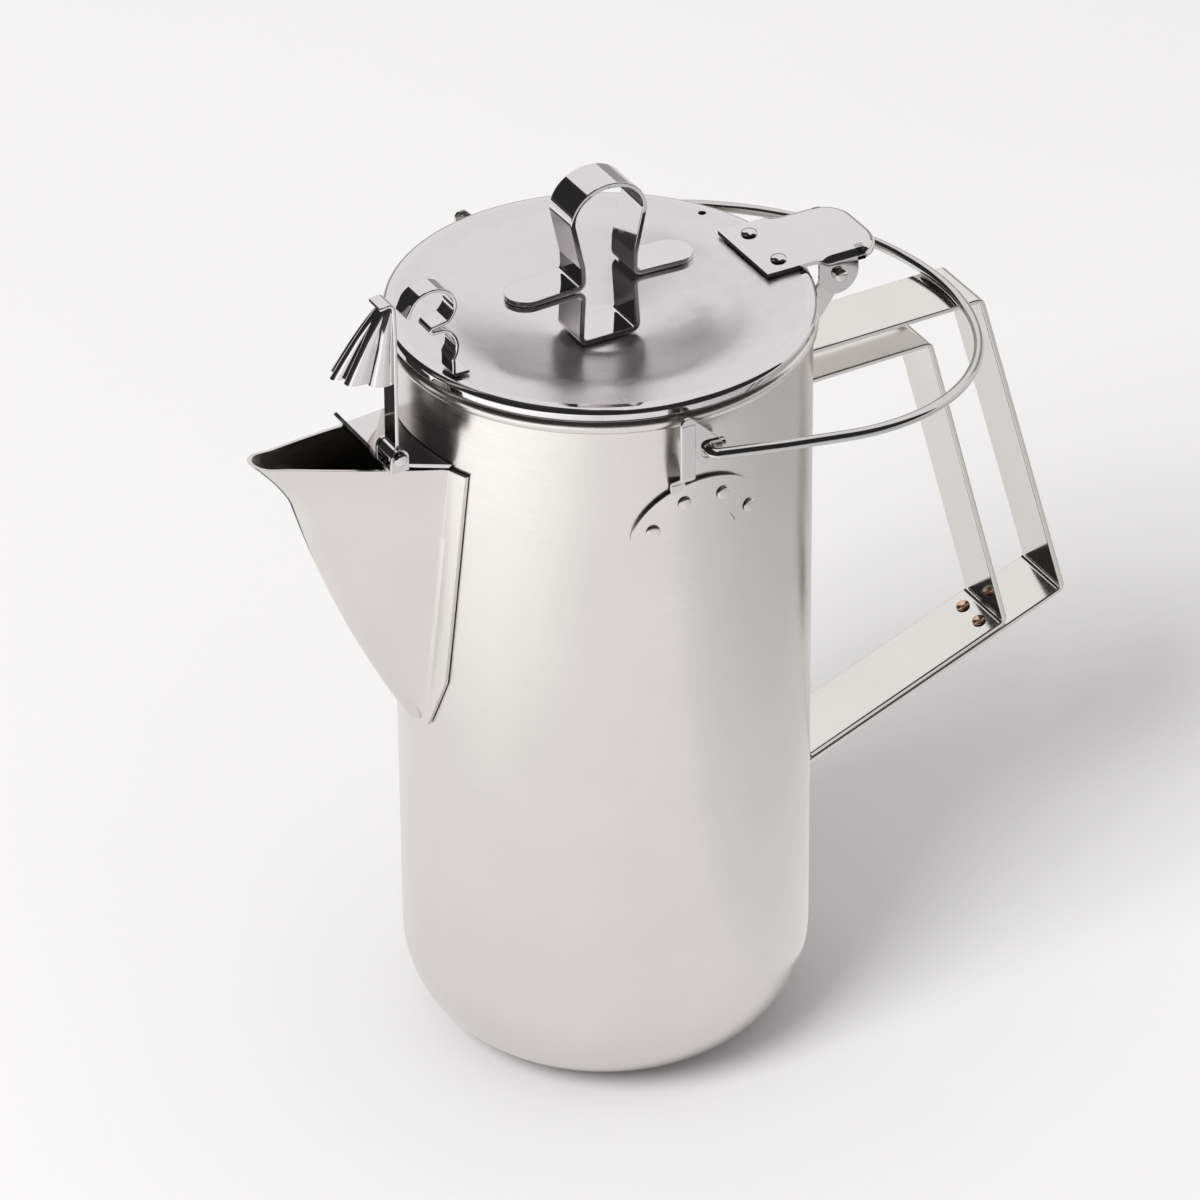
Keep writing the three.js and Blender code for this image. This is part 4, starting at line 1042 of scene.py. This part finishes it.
def lights():
    world = bpy.data.worlds.new("tent")
    bpy.context.scene.world = world
    world.use_nodes = True
    backdrop = world.node_tree.nodes["Background"]
    backdrop.inputs["Color"].default_value = (1.0, 0.985, 0.99, 1)
    backdrop.inputs["Strength"].default_value = 1.0
    key = bpy.data.lights.new("key", "AREA")
    key.shape = "DISK"
    key.size = 2.6
    key.energy = 290
    lamp = bpy.data.objects.new("key", key)
    bpy.context.scene.collection.objects.link(lamp)
    lamp.location = (-3.3, -1.3, 3.5)
    lamp.visible_glossy = False
    lamp.rotation_mode = "QUATERNION"
    lamp.rotation_quaternion = Vector(lamp.location).to_track_quat("Z", "Y")
    # dark patches of the room, seen only in reflections: painted dark reflections
    painted_room_reflection("room_camera_side", 198, 342, 0, 68, 0.03)
    painted_room_reflection("room_far_left", 106, 199, 0, 58, 0.03)
    painted_room_reflection("room_overhead_left", 86, 262, 58, 86, 0.05)
    # painted dark reflection in the latch and the lid scroll next to it
    painted_reflection_card("painted_latch_reflection", (-140, 62, 132), (-78, 44, 132), 84, 0.04)
    # grey wall patch seen only in reflections: painted reflection
    painted_room_reflection("wall_far_right", 15, 113, 0, 22, 0.4)
    # painted reflections of the floor: on the left painted light, brighter further out; on the right painted
    # shade, darker further from the pot
    painted_floor_reflection("floor_left_painted_light", (-520, -700), (-190, 500), 0.93, 1.75)
    painted_floor_reflection("floor_right_painted_shade", (62, -600), (470, 260), 0.42, 0.86)
    # dark panels over the floor from 720 mm in front and 800 mm to the left, seen only in reflections:
    # painted dark reflection
    painted_floor_reflection("far_floor_painted_dark_near", (-4000, -5000), (4000, -720), 0.06, 0.06)
    painted_floor_reflection("far_floor_painted_dark_left", (-5000, -720), (-800, 3000), 0.06, 0.06)
    bpy.context.scene.view_settings.view_transform = "Standard"


def camera():
    """Camera two metres from the pot, above it and in front of its near side."""
    azimuth, elevation, roll = (math.radians(a) for a in (-28.53, 32.63, -0.52))
    flat = math.cos(elevation)
    back = Vector((math.sin(azimuth) * flat, -math.cos(azimuth) * flat, math.sin(elevation)))
    level = Vector((math.cos(azimuth), math.sin(azimuth), 0))
    upright = back.cross(level)
    right = level * math.cos(roll) + upright * math.sin(roll)
    up = upright * math.cos(roll) - level * math.sin(roll)
    data = bpy.data.cameras.new("camera")
    data.sensor_width = 36
    data.lens = 223.24
    data.shift_x = -0.00235
    obj = bpy.data.objects.new("camera", data)
    bpy.context.scene.collection.objects.link(obj)
    aim = Vector((0, 0, 0.1302))
    obj.matrix_world = Matrix.Translation(aim + back * 2.0) @ Matrix((right, up, back)).transposed().to_4x4()
    bpy.context.scene.camera = obj


# ---- assembly -----------------------------------------------------------------------------------
camera()
lights()
floor()
for build in (pot_shell, spout, spout_hood, latch_clevis, latch_pin, thumb_lever, thumb_pad, lid,
              lid_scroll, knob_bracket, knob_loop, lid_hinge_plate, pot_hinge_bracket, lid_hinge_pin,
              hinge_rivets, ear_rivets, handle_straps, handle_rivets, bail, pump_tube, pump_base,
              coffee_basket, basket_lid):
    build()
for ear_name, ear_side in (("near", -1), ("far", 1)):
    ear_band(ear_name, ear_side)
    ear_post(ear_name, ear_side)
    ear_eye(ear_name, ear_side)
